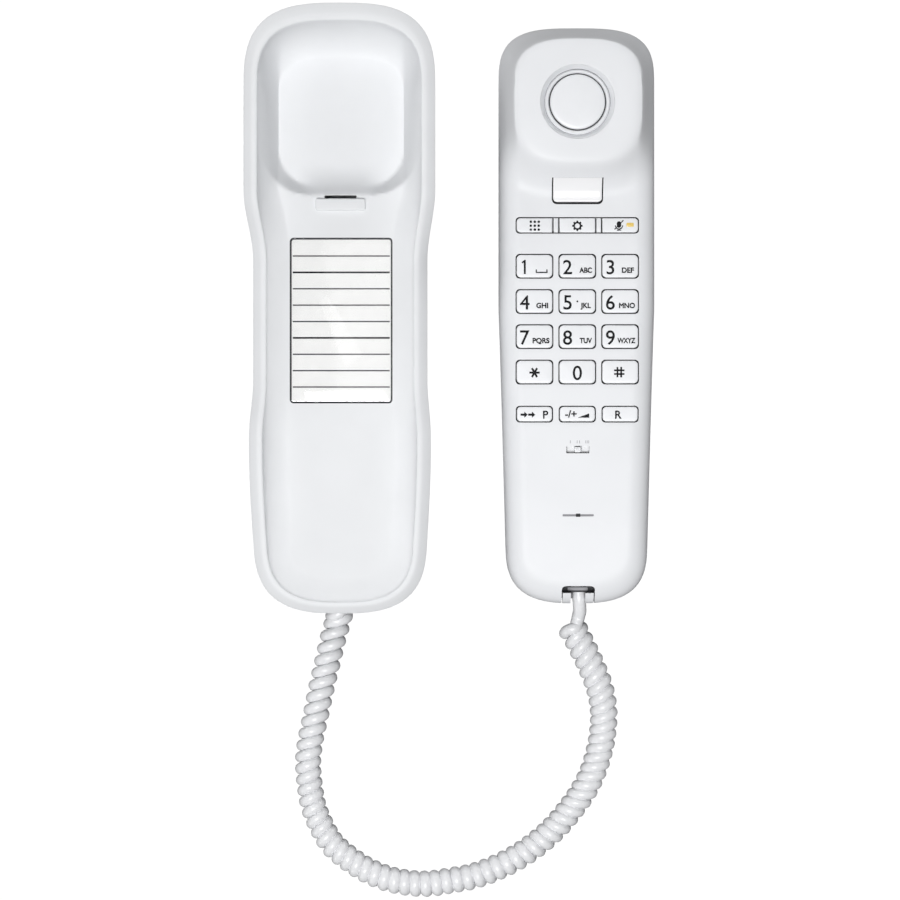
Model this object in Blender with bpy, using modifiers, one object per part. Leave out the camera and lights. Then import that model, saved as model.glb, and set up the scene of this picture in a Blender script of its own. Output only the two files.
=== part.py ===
"""Slimline corded telephone: a cradle base with a wall-mounting back, a handset that holds the
keypad, and the curly cord between them. Both halves lie face up, side by side, on one surface.

Blender 4.5, metres, +Z up, +Y towards the earpiece end. Dimensions below are in millimetres, and
become metres where a mesh is made. The base and the handset are each modelled about their own
centre line, X = 0, with the surface that they lie on at Z = 0.
"""
import math

import bmesh
import bpy

MM = 0.001
GAP = 0.3  # between pieces that touch

# Where the two halves stand, and the axis about which the handset turns over into the cradle
BASE_X = -37.2
HANDSET_X = 43.0
HINGE_X = (BASE_X + HANDSET_X) / 2
HINGE_Z = 20.0

# Base: its walls flare outwards with height, so the wavy rim also makes its outline wavy
BASE_END = 103.0  # half the base's length, at the rim
BASE_FOOT_WIDTH = 25.3  # half width at BASE_FOOT_Z
BASE_FOOT_Z = 4.0
BASE_TAPER = 0.6  # how much narrower it is at the mouth end
FLARE = 0.34
RIM_EAR, RIM_WAIST, RIM_HIP, RIM_MOUTH = 27.0, 19.0, 22.5, 18.0
RIM_DROP = 2.5  # the rim's outer edge lies this much below its crest
RIM_WIDTH, RIM_WIDTH_TOP, RIM_WIDTH_BOTTOM = 4.7, 6.2, 4.0
BASE_TOP_CAP, BASE_TOP_POWER = 29.0, 3.0
BASE_BOTTOM_CAP, BASE_BOTTOM_POWER = 24.0, 2.85
BED_Z, CUP_Z = 14.5, 8.5
WALL_WIDTH, WALL_WIDTH_CUP, WALL_WIDTH_TOP = 8.0, 6.2, 10.3
CUP_HALF, CUP_LOW_END, CUP_CORNER, CUP_STEP = 26.5, 39.9, 16.0, 5.0
BASE_WALL, BED_THICK = 2.0, 2.5
SKIRT_Z = 1.2
SKIRT_INSET = 1.4  # how far the wall's foot turns in
BASE_SCREWS = (29.4, -55.0)  # along the centre line
KEYHOLES = (56.0, -24.0)
FEET = ((-15.0, 80.0), (15.0, 80.0), (-15.0, -82.0), (15.0, -82.0))
TAB_Y = 35.7

# Index card window
CARD_X, CARD_Y = 0.2, -3.5
CARD_WIDTH, CARD_LENGTH = 34.3, 55.7

# Handset: half widths along its length, from the ear end to the mouth end
HANDSET_TOP, HANDSET_BOTTOM = 96.0, -99.7
HANDSET_HALF, HANDSET_HALF_MOUTH = 26.5, 23.9
HANDSET_TOP_CAP, HANDSET_TOP_POWER = 20.0, 3.3
HANDSET_BOTTOM_CAP, HANDSET_BOTTOM_POWER = 19.0, 2.8
PARTING_Z = 13.0
FACE_Z, PAD_Z, MOUTH_FALL = 21.5, 30.0, 1.5
PAD_HALF, PAD_LOW, PAD_HIGH, PAD_CORNER, PAD_SLOPE = 21.3, 48.0, 90.2, 12.0, 11.0
SHOULDER, SHOULDER_PAD, BACK_SHOULDER = 7.5, 5.2, 14.0
HANDSET_WALL = 2.0
EAR_X, EAR_Y, EAR_HOLE = -0.3, 69.1, 12.4
HANDSET_SCREWS = ((50.5, 28.6), (-76.2, 20.2))  # place along the centre line, top of its post
MICROPHONE = (0.25, -69.5)
MODE_SWITCH = (0.1, -47.35)
HOOK_UPPER, HOOK_LOWER, HOOK_HALF, HOOK_THICK = 44.35, 35.7, 8.45, 1.8

# Keys: rows by Y, columns by X
COLUMNS = (-14.5, -0.05, 14.4)
NUMBER_ROWS = (14.5, 2.6, -9.25, -21.2)
KEY_NAMES = (("1", "2", "3"), ("4", "5", "6"), ("7", "8", "9"), ("star", "0", "hash"))
NUMBER_KEY = (12.3, 7.9)
FUNCTION_ROW, FUNCTION_KEY = 28.3, (12.2, 5.05)
FUNCTION_NAMES = ("directory", "settings", "mute")
LOWER_ROW, LOWER_KEY = -35.4, (12.1, 5.2)
LOWER_NAMES = ("redial", "volume", "flash")
KEY_PROUD = 0.4
KEY_WINDOW_LOW, KEY_WINDOW_DEPTH = 18.0, 6.0
KEY_FLANGE_Z, KEY_FLANGE = 18.0, 0.6
KEY_MARGIN = (0.2, 0.55)
MAT_Z, MAT_THICK = 15.2, 1.4
BOARD_Z, BOARD_THICK = 13.3, 1.6

# Curly cord
COIL_RADIUS, TAIL_RADIUS = 4.65, 2.2
CORD_Z = 4.7
BASE_PLUG_X, BASE_PLUG_Z = -38.1 - BASE_X, 7.7
HANDSET_PLUG_X, HANDSET_PLUG_Z = 0.9, 10.0
LINE_JACK_X = 12.0
COIL_ROUTE = (
    (-38.1, -104.9), (-40.2, -112.4), (-42.2, -121.0), (-44.2, -129.5), (-46.1, -138.7),
    (-47.9, -147.2), (-48.7, -154.8), (-48.1, -162.7), (-46.8, -169.9), (-44.1, -176.5),
    (-40.4, -182.7), (-34.8, -187.6), (-28.6, -191.6), (-21.7, -194.5), (-14.5, -196.0),
    (-7.2, -196.3), (0.3, -195.2), (8.1, -193.7), (15.7, -190.9), (22.9, -187.3), (29.4, -182.9),
    (35.7, -177.4), (41.1, -171.1), (45.7, -164.6), (49.1, -157.6), (51.3, -150.5),
    (52.5, -143.6), (52.7, -136.4), (51.4, -129.2), (48.8, -122.3), (45.4, -115.1), (42.9, -110.2),
)
BASE_TAIL = ((-38.1, -97.7, 7.7), (-38.1, -100.0, 7.4), (-38.1, -102.0, 6.7), (-38.1, -103.5, 6.0))
HANDSET_TAIL = ((43.9, -100.3, 9.7), (44.2, -102.3, 9.0), (44.3, -104.3, 7.8), (43.9, -106.3, 6.5),
                (43.3, -108.2, 5.4))

# Surface colours: red, green, blue, roughness, metallic
WHITE = (0.80, 0.81, 0.83, 0.35, 0.0)
KEY_WHITE = (0.84, 0.85, 0.87, 0.4, 0.0)
CORD_WHITE = (0.76, 0.77, 0.79, 0.45, 0.0)
RUBBER = (0.16, 0.16, 0.17, 0.8, 0.0)
PAPER = (0.85, 0.85, 0.84, 0.9, 0.0)
CLEAR = (0.9, 0.92, 0.93, 0.05, 0.0)
STEEL = (0.6, 0.6, 0.62, 0.3, 1.0)
BOARD_GREEN = (0.05, 0.25, 0.12, 0.5, 0.0)
JACK_BLACK = (0.05, 0.05, 0.055, 0.4, 0.0)
SILICONE = (0.55, 0.56, 0.58, 0.6, 0.0)
AMBER = (0.9, 0.6, 0.12, 0.2, 0.0)
BRASS = (0.75, 0.6, 0.3, 0.3, 1.0)


# ---- Shape functions -------------------------------------------------------------------------

def smooth(edge0, edge1, value):
    """0 at edge0 and 1 at edge1, with level ends."""
    t = min(max((value - edge0) / (edge1 - edge0), 0.0), 1.0)
    return t * t * (3.0 - 2.0 * t)


def rounded_step(t, power):
    """Rises from 0 to 1 like a quarter of a superellipse, steepest at 0."""
    t = min(max(t, 0.0), 1.0)
    return (1.0 - (1.0 - t) ** power) ** (1.0 / power)


def outside_box(x, y, half, low, high, corner):
    """Distance outside a rounded rectangle, negative inside it."""
    dx = abs(x) - half + corner
    dy = max(low + corner - y, y - high + corner)
    outer = math.hypot(max(dx, 0.0), max(dy, 0.0))
    return outer + min(max(dx, dy), 0.0) - corner


def rim_height(y):
    """The crest of the base's rim: high round the ear cup, low at the waist, with a hip below."""
    height = RIM_EAR + (RIM_WAIST - RIM_EAR) * smooth(40.0, 17.0, y)
    height += (RIM_HIP - RIM_WAIST) * smooth(-24.0, -43.0, y)
    return height + (RIM_MOUTH - RIM_HIP) * smooth(-48.0, -103.0, y)


def base_half_width(y):
    """Half the base's width at its rim's outer edge."""
    foot = BASE_FOOT_WIDTH - BASE_TAPER * smooth(-45.0, -BASE_END, y)
    return foot + FLARE * (rim_height(y) - RIM_DROP - BASE_FOOT_Z)


def bed_height(x, y):
    """The floor inside the base: the level bed, and the ear cup with its rounded lower end."""
    outside = outside_box(x, y, CUP_HALF, CUP_LOW_END, 2 * BASE_END, CUP_CORNER)
    return CUP_Z + (BED_Z - CUP_Z) * smooth(-CUP_STEP / 2, CUP_STEP / 2, outside)


def handset_half_width(y):
    """Half the handset's width at its parting line."""
    return HANDSET_HALF + (HANDSET_HALF_MOUTH - HANDSET_HALF) * min(max(-y / 90.0, 0.0), 1.0) ** 0.9


def face_height(x, y):
    """The handset's face: the keypad plane, the raised ear pad and its cove, and the mouth end."""
    outside = outside_box(x, y, PAD_HALF, PAD_LOW, PAD_HIGH, PAD_CORNER)
    rise = (PAD_Z - FACE_Z) * (1.0 - min(max(outside / PAD_SLOPE, 0.0), 1.0)) ** 2.2
    return FACE_Z + rise - MOUTH_FALL * smooth(-72.0, -100.0, y)


def spaced(start, stop, step):
    """Evenly spaced values from start down to stop, without stop."""
    count = max(1, round((start - stop) / step))
    return [start + (stop - start) * k / count for k in range(count)]


class Plan:
    """A long outline, symmetric about X = 0, with a superelliptic cap at each end."""

    def __init__(self, half_width, top, bottom, caps, powers, stations, cap_steps):
        self.half_width, self.top, self.bottom = half_width, top, bottom
        self.caps, self.powers = caps, powers
        self.stations, self.cap_steps = stations, cap_steps

    def half_ring(self, side, top, bottom):
        """The +X half of the outline from its top point to its bottom point, moved in by side(y),
        top and bottom."""
        angles = [math.pi / 2 * k / self.cap_steps for k in range(self.cap_steps)]
        start, end = self.top - self.caps[0], self.bottom + self.caps[1]
        points = []
        for a in angles:
            y = start + (self.caps[0] - top) * math.cos(a) ** (2 / self.powers[0])
            points.append(((self.half_width(y) - side(y)) * math.sin(a) ** (2 / self.powers[0]), y))
        for y in [start, *self.stations, end]:
            points.append((self.half_width(y) - side(y), y))
        for a in reversed(angles):
            y = end - (self.caps[1] - bottom) * math.cos(a) ** (2 / self.powers[1])
            points.append(((self.half_width(y) - side(y)) * math.sin(a) ** (2 / self.powers[1]), y))
        return points

    def ring(self, side, top, bottom, height):
        """The whole outline, moved in, as points whose Z is height(x, y)."""
        half = self.half_ring(side, top, bottom)
        flat = half + [(-x, y) for x, y in reversed(half[1:-1])]
        return [(x, y, height(x, y)) for x, y in flat]


# ---- Mesh helpers ----------------------------------------------------------------------------

def add_object(name, mesh, material, collection, parent, location):
    """An object in a collection, at a place under its parent."""
    obj = bpy.data.objects.new(name, mesh)
    collection.objects.link(obj)
    obj.parent = parent
    obj.location = [v * MM for v in location]
    if material:
        mesh.materials.append(material)
    else:
        obj.hide_render = True
        obj.display_type = "WIRE"
    return obj


def mesh_from(name, bm):
    """A mesh from a bmesh drawn in millimetres, with its faces pointing out."""
    bmesh.ops.scale(bm, vec=(MM, MM, MM), verts=bm.verts)
    bmesh.ops.recalc_face_normals(bm, faces=bm.faces)
    mesh = bpy.data.meshes.new(name)
    bm.to_mesh(mesh)
    bm.free()
    return mesh


def bridge(bm, ring_a, ring_b):
    """Quads between two rings of as many vertices."""
    for k in range(len(ring_a)):
        j = (k + 1) % len(ring_a)
        bm.faces.new((ring_a[k], ring_a[j], ring_b[j], ring_b[k]))


def bowl(bm, rings, columns, height):
    """A skin through rings, the first one open, closed by rows of faces across the last."""
    skins = [[bm.verts.new(p) for p in ring] for ring in rings]
    for outer, inner in zip(skins, skins[1:]):
        bridge(bm, outer, inner)
    last = skins[-1]
    count, middle = len(last), len(last) // 2
    rows = []
    for i in range(1, middle):
        right, left = last[i], last[count - i]
        row = [right]
        for k in range(1, columns):
            x = right.co.x + (left.co.x - right.co.x) * k / columns
            row.append(bm.verts.new((x, right.co.y, height(x, right.co.y))))
        rows.append(row + [left])
    for upper, lower in zip(rows, rows[1:]):
        for k in range(columns):
            bm.faces.new((upper[k], upper[k + 1], lower[k + 1], lower[k]))
    for tip, row in ((last[0], rows[0]), (last[middle], rows[-1])):
        for k in range(columns):
            bm.faces.new((tip, row[k], row[k + 1]))
    return skins[0]


def shell(name, outer_rings, inner_rings, columns, outer_height, inner_height):
    """A closed shell between two bowls, joined along their open edges."""
    bm = bmesh.new()
    outer = bowl(bm, outer_rings, columns, outer_height)
    inner = bowl(bm, inner_rings, columns, inner_height)
    bridge(bm, outer, inner)
    return mesh_from(name, bm)


def rounded_box(name, size, radius=0.0, segments=2, low=0.0):
    """A box round the origin in X and Y, standing on Z = low, its upright edges rounded."""
    bm = bmesh.new()
    bmesh.ops.create_cube(bm, size=1.0)
    bmesh.ops.scale(bm, vec=size, verts=bm.verts)
    bmesh.ops.translate(bm, vec=(0.0, 0.0, low + size[2] / 2), verts=bm.verts)
    if radius:
        upright = [e for e in bm.edges if abs(e.verts[0].co.z - e.verts[1].co.z) > size[2] / 2]
        bmesh.ops.bevel(bm, geom=upright, offset=radius, segments=segments, profile=0.5,
                        affect="EDGES")
    return mesh_from(name, bm)


def cylinder(name, radius, low, high, segments=20):
    """An upright cylinder on the Z axis."""
    bm = bmesh.new()
    bmesh.ops.create_cone(bm, cap_ends=True, segments=segments, radius1=radius, radius2=radius,
                          depth=high - low)
    bmesh.ops.translate(bm, vec=(0.0, 0.0, (low + high) / 2), verts=bm.verts)
    return mesh_from(name, bm)


def turned(name, profile, closed, material, collection, parent, location, segments=28):
    """A profile of (radius, z), down its outer side first, turned about Z by a Screw modifier."""
    bm = bmesh.new()
    points = [bm.verts.new((r, 0.0, z)) for r, z in profile]
    for a, b in zip(points, points[1:]):
        bm.edges.new((a, b))
    if closed:
        bm.edges.new((points[-1], points[0]))
    bmesh.ops.scale(bm, vec=(MM, MM, MM), verts=bm.verts)
    mesh = bpy.data.meshes.new(name)
    bm.to_mesh(mesh)
    bm.free()
    obj = add_object(name, mesh, material, collection, parent, location)
    screw = obj.modifiers.new("turn", "SCREW")
    screw.steps = screw.render_steps = segments
    screw.use_merge_vertices = True
    screw.merge_threshold = 0.00001
    return obj


def boolean(target, cutter, operation="DIFFERENCE"):
    """Cut one object from another, or join it on."""
    modifier = target.modifiers.new(cutter.name, "BOOLEAN")
    modifier.operation = operation
    modifier.solver = "EXACT"
    modifier.object = cutter


def surface_material(name, values):
    """A Principled material from a colour, roughness and metallic value."""
    material = bpy.data.materials.new(name)
    material.use_nodes = True
    shader = material.node_tree.nodes["Principled BSDF"]
    shader.inputs["Base Color"].default_value = (*values[:3], 1.0)
    shader.inputs["Roughness"].default_value = values[3]
    shader.inputs["Metallic"].default_value = values[4]
    return material


# ---- Assembly: one object per sub-part -------------------------------------------------------

class Assembly:
    """One half of the telephone: its parent empty, its collections, and its frame's place."""

    def __init__(self, parent, offset, parts, cutters, materials):
        self.parent, self.offset = parent, offset
        self.parts, self.cutters, self.materials = parts, cutters, materials

    def place(self, location):
        return [a + b for a, b in zip(self.offset, location)]

    def part(self, mesh, material, location=(0.0, 0.0, 0.0)):
        return add_object(mesh.name, mesh, self.materials[material], self.parts, self.parent,
                          self.place(location))

    def tool(self, mesh, location=(0.0, 0.0, 0.0)):
        return add_object(mesh.name, mesh, None, self.cutters, self.parent, self.place(location))

    def turned_part(self, name, profile, material, location, closed=False, segments=28):
        return turned(name, profile, closed, self.materials[material], self.parts, self.parent,
                      self.place(location), segments)

    def tube(self, name, route, radius, material, resolution):
        """A round tube along a route of world points."""
        curve = bpy.data.curves.new(name, "CURVE")
        curve.dimensions = "3D"
        curve.bevel_depth = radius * MM
        curve.bevel_resolution = resolution
        curve.use_fill_caps = True
        spline = curve.splines.new("POLY")
        spline.points.add(len(route) - 1)
        for point, place in zip(spline.points, route):
            point.co = (*[v * MM for v in place], 1.0)
        return add_object(name, curve, self.materials[material], self.parts, None, (0, 0, 0))


def key_mesh(name, size, margin, top, chamfer=0.35):
    """A key cap on a wider flange, which keeps it inside the shell. Z = 0 is the flange's foot."""
    bm = bmesh.new()
    wide = (size[0] + 2 * margin[0], size[1] + 2 * margin[1], KEY_FLANGE)
    bmesh.ops.create_cube(bm, size=1.0)
    bmesh.ops.scale(bm, vec=wide, verts=bm.verts)
    bmesh.ops.translate(bm, vec=(0.0, 0.0, KEY_FLANGE / 2), verts=bm.verts)
    upright = [e for e in bm.edges if abs(e.verts[0].co.z - e.verts[1].co.z) > KEY_FLANGE / 2]
    bmesh.ops.bevel(bm, geom=upright, offset=1.3, segments=2, profile=0.5, affect="EDGES")
    face = max(bm.faces, key=lambda f: f.calc_center_median().z)
    levels = (
        (size[0] / wide[0], size[1] / wide[1], 0.0),
        (1.0, 1.0, top - KEY_FLANGE - chamfer),
        (1.0 - 2 * chamfer / size[0], 1.0 - 2 * chamfer / size[1], chamfer),
    )
    for scale_x, scale_y, lift in levels:
        made = bmesh.ops.extrude_face_region(bm, geom=[face])["geom"]
        verts = [g for g in made if isinstance(g, bmesh.types.BMVert)]
        bmesh.ops.scale(bm, vec=(scale_x, scale_y, 1.0), verts=verts)
        bmesh.ops.translate(bm, vec=(0.0, 0.0, lift), verts=verts)
        bm.faces.remove(face)
        face = next(g for g in made if isinstance(g, bmesh.types.BMFace))
    return mesh_from(name, bm)


# ---- Base ------------------------------------------------------------------------------------

def base_plan():
    stations = spaced(66.0, 56.0, 5.0) + spaced(56.0, 32.0, 2.7) + spaced(32.0, -50.0, 6.0)
    return Plan(base_half_width, BASE_END, -BASE_END, (BASE_TOP_CAP, BASE_BOTTOM_CAP),
                (BASE_TOP_POWER, BASE_BOTTOM_POWER), stations + spaced(-50.0, -79.0, 8.0), 6)


def flank_ring(plan, z, inset):
    """The base's flared outer wall at height z, moved in by inset."""
    return plan.ring(lambda y: (rim_height(y) - RIM_DROP - z) * FLARE + inset,
                     (RIM_EAR - RIM_DROP - z) * FLARE + inset,
                     (RIM_MOUTH - RIM_DROP - z) * FLARE + inset, lambda x, y: z)


def flank_share_ring(plan, share, inset, below):
    """The outer wall at a share of the way from its foot to the rim's outer edge."""
    def height(x, y):
        return BASE_FOOT_Z + (rim_height(y) - below - BASE_FOOT_Z) * share

    def side(y):
        return (rim_height(y) - RIM_DROP - height(0.0, y)) * FLARE + inset

    return plan.ring(side, side(BASE_END), side(-BASE_END), height)


def rim_ring(plan, share, drop):
    """A ring on the rim: share runs from its outer to its inner edge, drop is below the crest."""
    return plan.ring(lambda y: RIM_WIDTH * share, RIM_WIDTH_TOP * share, RIM_WIDTH_BOTTOM * share,
                     lambda x, y: rim_height(y) - drop)


def wall_ring(plan, t, wall):
    """A ring on the concave inner wall, from the rim at t = 0 to the bed at t = 1. wall moves it
    into the material."""
    power = 2.5
    back, down = wall * math.cos(math.pi / 2 * t), wall * math.sin(math.pi / 2 * t)

    def side(y):
        width = WALL_WIDTH + (WALL_WIDTH_CUP - WALL_WIDTH) * smooth(34.0, 44.0, y)
        return RIM_WIDTH + width * t - back

    def height(x, y):
        crest, floor = rim_height(y) - 0.6, bed_height(x, y)
        return floor + (crest - floor) * (1.0 - rounded_step(t, power)) - down

    return plan.ring(side, RIM_WIDTH_TOP + WALL_WIDTH_TOP * t - back,
                     RIM_WIDTH_BOTTOM + WALL_WIDTH * t - back, height)


def base_housing_mesh():
    plan = base_plan()
    outer = [flank_ring(plan, SKIRT_Z, SKIRT_INSET), flank_ring(plan, BASE_FOOT_Z, 0.0)]
    outer += [flank_share_ring(plan, 1.0, 0.0, RIM_DROP)]
    outer += [rim_ring(plan, *at) for at in ((0.25, 1.1), (0.62, 0.1), (0.85, 0.0), (1.0, 0.6))]
    outer += [wall_ring(plan, t, 0.0) for t in (0.12, 0.3, 0.55, 1.0)]
    inner = [flank_ring(plan, SKIRT_Z, SKIRT_INSET + BASE_WALL)]
    inner += [flank_ring(plan, BASE_FOOT_Z, BASE_WALL)]
    inner += [flank_share_ring(plan, 1.0, BASE_WALL - 0.7, 4.6)]
    inner += [wall_ring(plan, t, BED_THICK) for t in (0.35, 1.0)]
    return shell("base_housing", outer, inner, 8, bed_height,
                 lambda x, y: bed_height(x, y) - BED_THICK)


def make_base(base):
    housing = base.part(base_housing_mesh(), "base_plastic")
    card_cut = (CARD_WIDTH + 2 * GAP, CARD_LENGTH + 2 * GAP, 4.0)
    boolean(housing, base.tool(rounded_box("card_pocket", card_cut, 1.3, 2, BED_Z - 1.3),
                               (CARD_X, CARD_Y, 0.0)))
    boolean(housing, base.tool(rounded_box("tab_slot", (10.9, 4.5, 8.0), low=BED_Z - 5.0),
                               (0.0, TAB_Y + 0.75, 0.0)))
    jack_window = rounded_box("base_cord_window", (9.8, 16.0, 7.8), low=3.9)
    boolean(housing, base.tool(jack_window, (BASE_PLUG_X, -99.0, 0.0)))
    line_window = rounded_box("line_jack_window", (11.0, 20.0, 7.4), low=4.1)
    boolean(housing, base.tool(line_window, (LINE_JACK_X, -97.0, 0.0)))
    for number, y in enumerate(BASE_SCREWS, 1):
        post = base.tool(cylinder(f"base_post_{number}", 2.9, 3.6, BED_Z - 1.0), (0.0, y, 0.0))
        boolean(housing, post, "UNION")
        bore = base.tool(cylinder(f"base_post_bore_{number}", 1.6, 3.0, 11.6), (0.0, y, 0.0))
        boolean(housing, bore)
        base.turned_part(f"base_screw_{number}", (
            (0.0, 11.0), (1.35, 11.0), (1.35, 1.9), (2.6, 1.9), (2.6, 0.6), (0.0, 0.6)),
            "screw_steel", (0.0, y, 0.0), segments=16)

    make_back_plate(base)
    base.part(rounded_box("index_card", (CARD_WIDTH - 0.6, CARD_LENGTH - 0.6, 0.25), 0.8, 2,
                          BED_Z - 1.2), "card_paper", (CARD_X, CARD_Y, 0.0))
    base.part(rounded_box("index_card_cover", (CARD_WIDTH, CARD_LENGTH, 0.85), 1.0, 2,
                          BED_Z - 0.8), "clear_cover", (CARD_X, CARD_Y, 0.0))
    tab = base.part(rounded_box("hanger_tab", (17.0, 3.8, 1.2), 0.8, 2, 0.0), "base_plastic",
                    (0.0, TAB_Y, BED_Z + GAP))
    stem = base.tool(rounded_box("tab_stem", (9.6, 2.4, 9.6), low=-9.0), (0.0, TAB_Y + 0.2, BED_Z + GAP))
    boolean(tab, stem, "UNION")

    make_jack(base, "base_cord_jack", (10.6, 12.0, 8.4), (8.2, 11.0, 6.8),
              (BASE_PLUG_X, -90.3, 3.5))
    make_jack(base, "line_jack", (13.0, 12.0, 8.4), (10.2, 10.0, 6.8), (LINE_JACK_X, -86.2, 3.5))
    base.part(rounded_box("base_board", (32.0, 13.6, 1.6), low=5.0), "circuit_board",
              (4.0, -72.8, 0.0))
    base.part(rounded_box("ballast_weight", (38.0, 34.0, 5.0), 2.0, 2, 3.7), "ballast_steel",
              (0.0, 4.0, 0.0))
    base.turned_part("ringer", ((0.0, 5.6), (11.0, 5.6), (11.0, 4.3), (12.0, 4.3), (12.0, 3.5),
                                (0.0, 3.5)), "ringer_brass", (0.0, 76.0, 0.0), segments=24)


def make_back_plate(base):
    """The plate that closes the base below, its wall boss with two keyholes, and the feet."""
    plan = base_plan()
    bm = bmesh.new()
    rings = []
    for z in (SKIRT_Z, SKIRT_Z + 2.0):
        ring = flank_ring(plan, SKIRT_Z, SKIRT_INSET + BASE_WALL + GAP)
        rings.append([bm.verts.new((x, y, z)) for x, y, _ in ring])
    bridge(bm, *rings)
    for ring in rings:
        bm.faces.new(ring)
    plate = base.part(mesh_from("base_back_plate", bm), "back_plastic")
    boss = base.tool(rounded_box("wall_boss", (30.0, 104.0, 2.2), 4.0, 3, 0.0), (0.0, 14.0, 0.0))
    boolean(plate, boss, "UNION")
    for number, y in enumerate(KEYHOLES, 1):
        entry = base.tool(cylinder(f"keyhole_entry_{number}", 4.4, -1.0, 5.0), (0.0, y - 6.0, 0.0))
        boolean(plate, entry)
        slot = rounded_box(f"keyhole_slot_{number}", (4.8, 10.0, 6.0), 2.2, 3, -1.0)
        boolean(plate, base.tool(slot, (0.0, y - 1.0, 0.0)))
    for number, y in enumerate(BASE_SCREWS, 1):
        boolean(plate, base.tool(cylinder(f"base_head_bore_{number}", 2.9, -1.0, 2.2),
                                 (0.0, y, 0.0)))
        boolean(plate, base.tool(cylinder(f"base_shank_bore_{number}", 1.65, -1.0, 4.0),
                                 (0.0, y, 0.0)))
    for number, (x, y) in enumerate(FEET, 1):
        boolean(plate, base.tool(cylinder(f"foot_pocket_{number}", 4.6, 0.0, 2.1), (x, y, 0.0)))
        base.turned_part(f"foot_{number}", ((0.0, 1.8), (4.3, 1.8), (4.3, 0.5), (3.8, 0.0),
                                            (0.0, 0.0)), "rubber", (x, y, 0.0), segments=18)


def make_jack(half, name, size, socket, foot):
    """A modular jack: a block with a socket that opens towards the mouth end."""
    body = half.part(rounded_box(name, size), "jack_black", foot)
    hole = rounded_box(f"{name}_socket", (socket[0], socket[1] + 2.0, socket[2]),
                       low=(size[2] - socket[2]) / 2)
    reach = (size[1] - socket[1]) / 2 + 1.0
    boolean(body, half.tool(hole, (foot[0], foot[1] - reach, foot[2])))


# ---- Handset ---------------------------------------------------------------------------------

def handset_plan():
    stations = spaced(70.0, 56.0, 6.0) + spaced(56.0, 34.0, 3.0) + spaced(34.0, -80.0, 11.0)
    return Plan(handset_half_width, HANDSET_TOP, HANDSET_BOTTOM,
                (HANDSET_TOP_CAP, HANDSET_BOTTOM_CAP), (HANDSET_TOP_POWER, HANDSET_BOTTOM_POWER),
                stations, 6)


def front_ring(plan, share, wall):
    """A ring on the front shell: share runs from the parting line to the shoulder's inner edge."""
    def width(y):
        return SHOULDER + (SHOULDER_PAD - SHOULDER) * smooth(36.0, 52.0, y)

    def height(x, y):
        power = 2.2 + (1.25 - 2.2) * smooth(38.0, 52.0, y)
        rise = rounded_step(share, power)
        return PARTING_Z + (face_height(x, y) - wall - PARTING_Z) * rise

    inward = wall * (1.0 - share)
    return plan.ring(lambda y: width(y) * share + inward, (SHOULDER_PAD + 0.6) * share + inward,
                     (SHOULDER + 1.5) * share + inward, height)


def lifted(ring, z):
    """A copy of a ring laid at one height."""
    return [(x, y, z) for x, y, _ in ring]


def front_shell_mesh():
    plan = handset_plan()
    seam = PARTING_Z + GAP / 2
    outer = [lifted(front_ring(plan, 0.0, 0.0), seam)]
    outer += [front_ring(plan, share, 0.0) for share in (0.05, 0.2, 0.45, 0.75, 1.0)]
    inner = [lifted(front_ring(plan, 0.0, HANDSET_WALL), seam)]
    inner += [front_ring(plan, share, HANDSET_WALL) for share in (0.1, 0.35, 0.65, 1.0)]
    return shell("handset_front_shell", outer, inner, 8, face_height,
                 lambda x, y: face_height(x, y) - HANDSET_WALL)


def back_ring(plan, share, wall):
    """A ring on the back shell: share runs from the parting line to the flat of the back."""
    def height(x, y):
        return PARTING_Z - (PARTING_Z - wall) * rounded_step(share, 2.1)

    reach = BACK_SHOULDER * share + wall * (1.0 - 0.6 * share)
    return plan.ring(lambda y: reach, reach, reach, height)


def back_shell_mesh():
    plan = handset_plan()
    seam = PARTING_Z - GAP / 2
    outer = [lifted(back_ring(plan, 0.0, 0.0), seam)]
    outer += [back_ring(plan, share, 0.0) for share in (0.06, 0.22, 0.5, 1.0)]
    inner = [lifted(back_ring(plan, 0.0, HANDSET_WALL), seam)]
    inner += [back_ring(plan, share, HANDSET_WALL) for share in (0.2, 0.5, 1.0)]
    return shell("handset_back_shell", outer, inner, 4, lambda x, y: 0.0,
                 lambda x, y: HANDSET_WALL)


def make_handset(handset):
    front = handset.part(front_shell_mesh(), "handset_plastic")
    back = handset.part(back_shell_mesh(), "handset_plastic")
    make_screws(handset, front, back)
    make_keys(handset, front)
    make_earpiece(handset, front)
    make_hook_button(handset, front)
    make_mode_switch(handset, front)

    groove = rounded_box("microphone_groove", (10.5, 1.2, 3.0), low=FACE_Z - 0.6)
    boolean(front, handset.tool(groove, (*MICROPHONE, 0.0)))
    hole = rounded_box("microphone_hole", (1.5, 1.1, 8.0), low=FACE_Z - 4.0)
    boolean(front, handset.tool(hole, (*MICROPHONE, 0.0)))
    handset.part(cylinder("microphone", 3.0, 16.2, 18.9, 16), "capsule_metal", (*MICROPHONE, 0.0))

    notch = rounded_box("cord_notch", (11.2, 12.0, 24.0), 1.6, 2, 5.0)
    for shell_part in (front, back):
        boolean(shell_part, handset.tool(notch, (0.4, -99.5, 0.0)))
    make_jack(handset, "handset_cord_jack", (10.4, 12.0, 9.6), (8.2, 11.0, 6.8),
              (HANDSET_PLUG_X, -87.0, HANDSET_PLUG_Z - 4.8))


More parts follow.
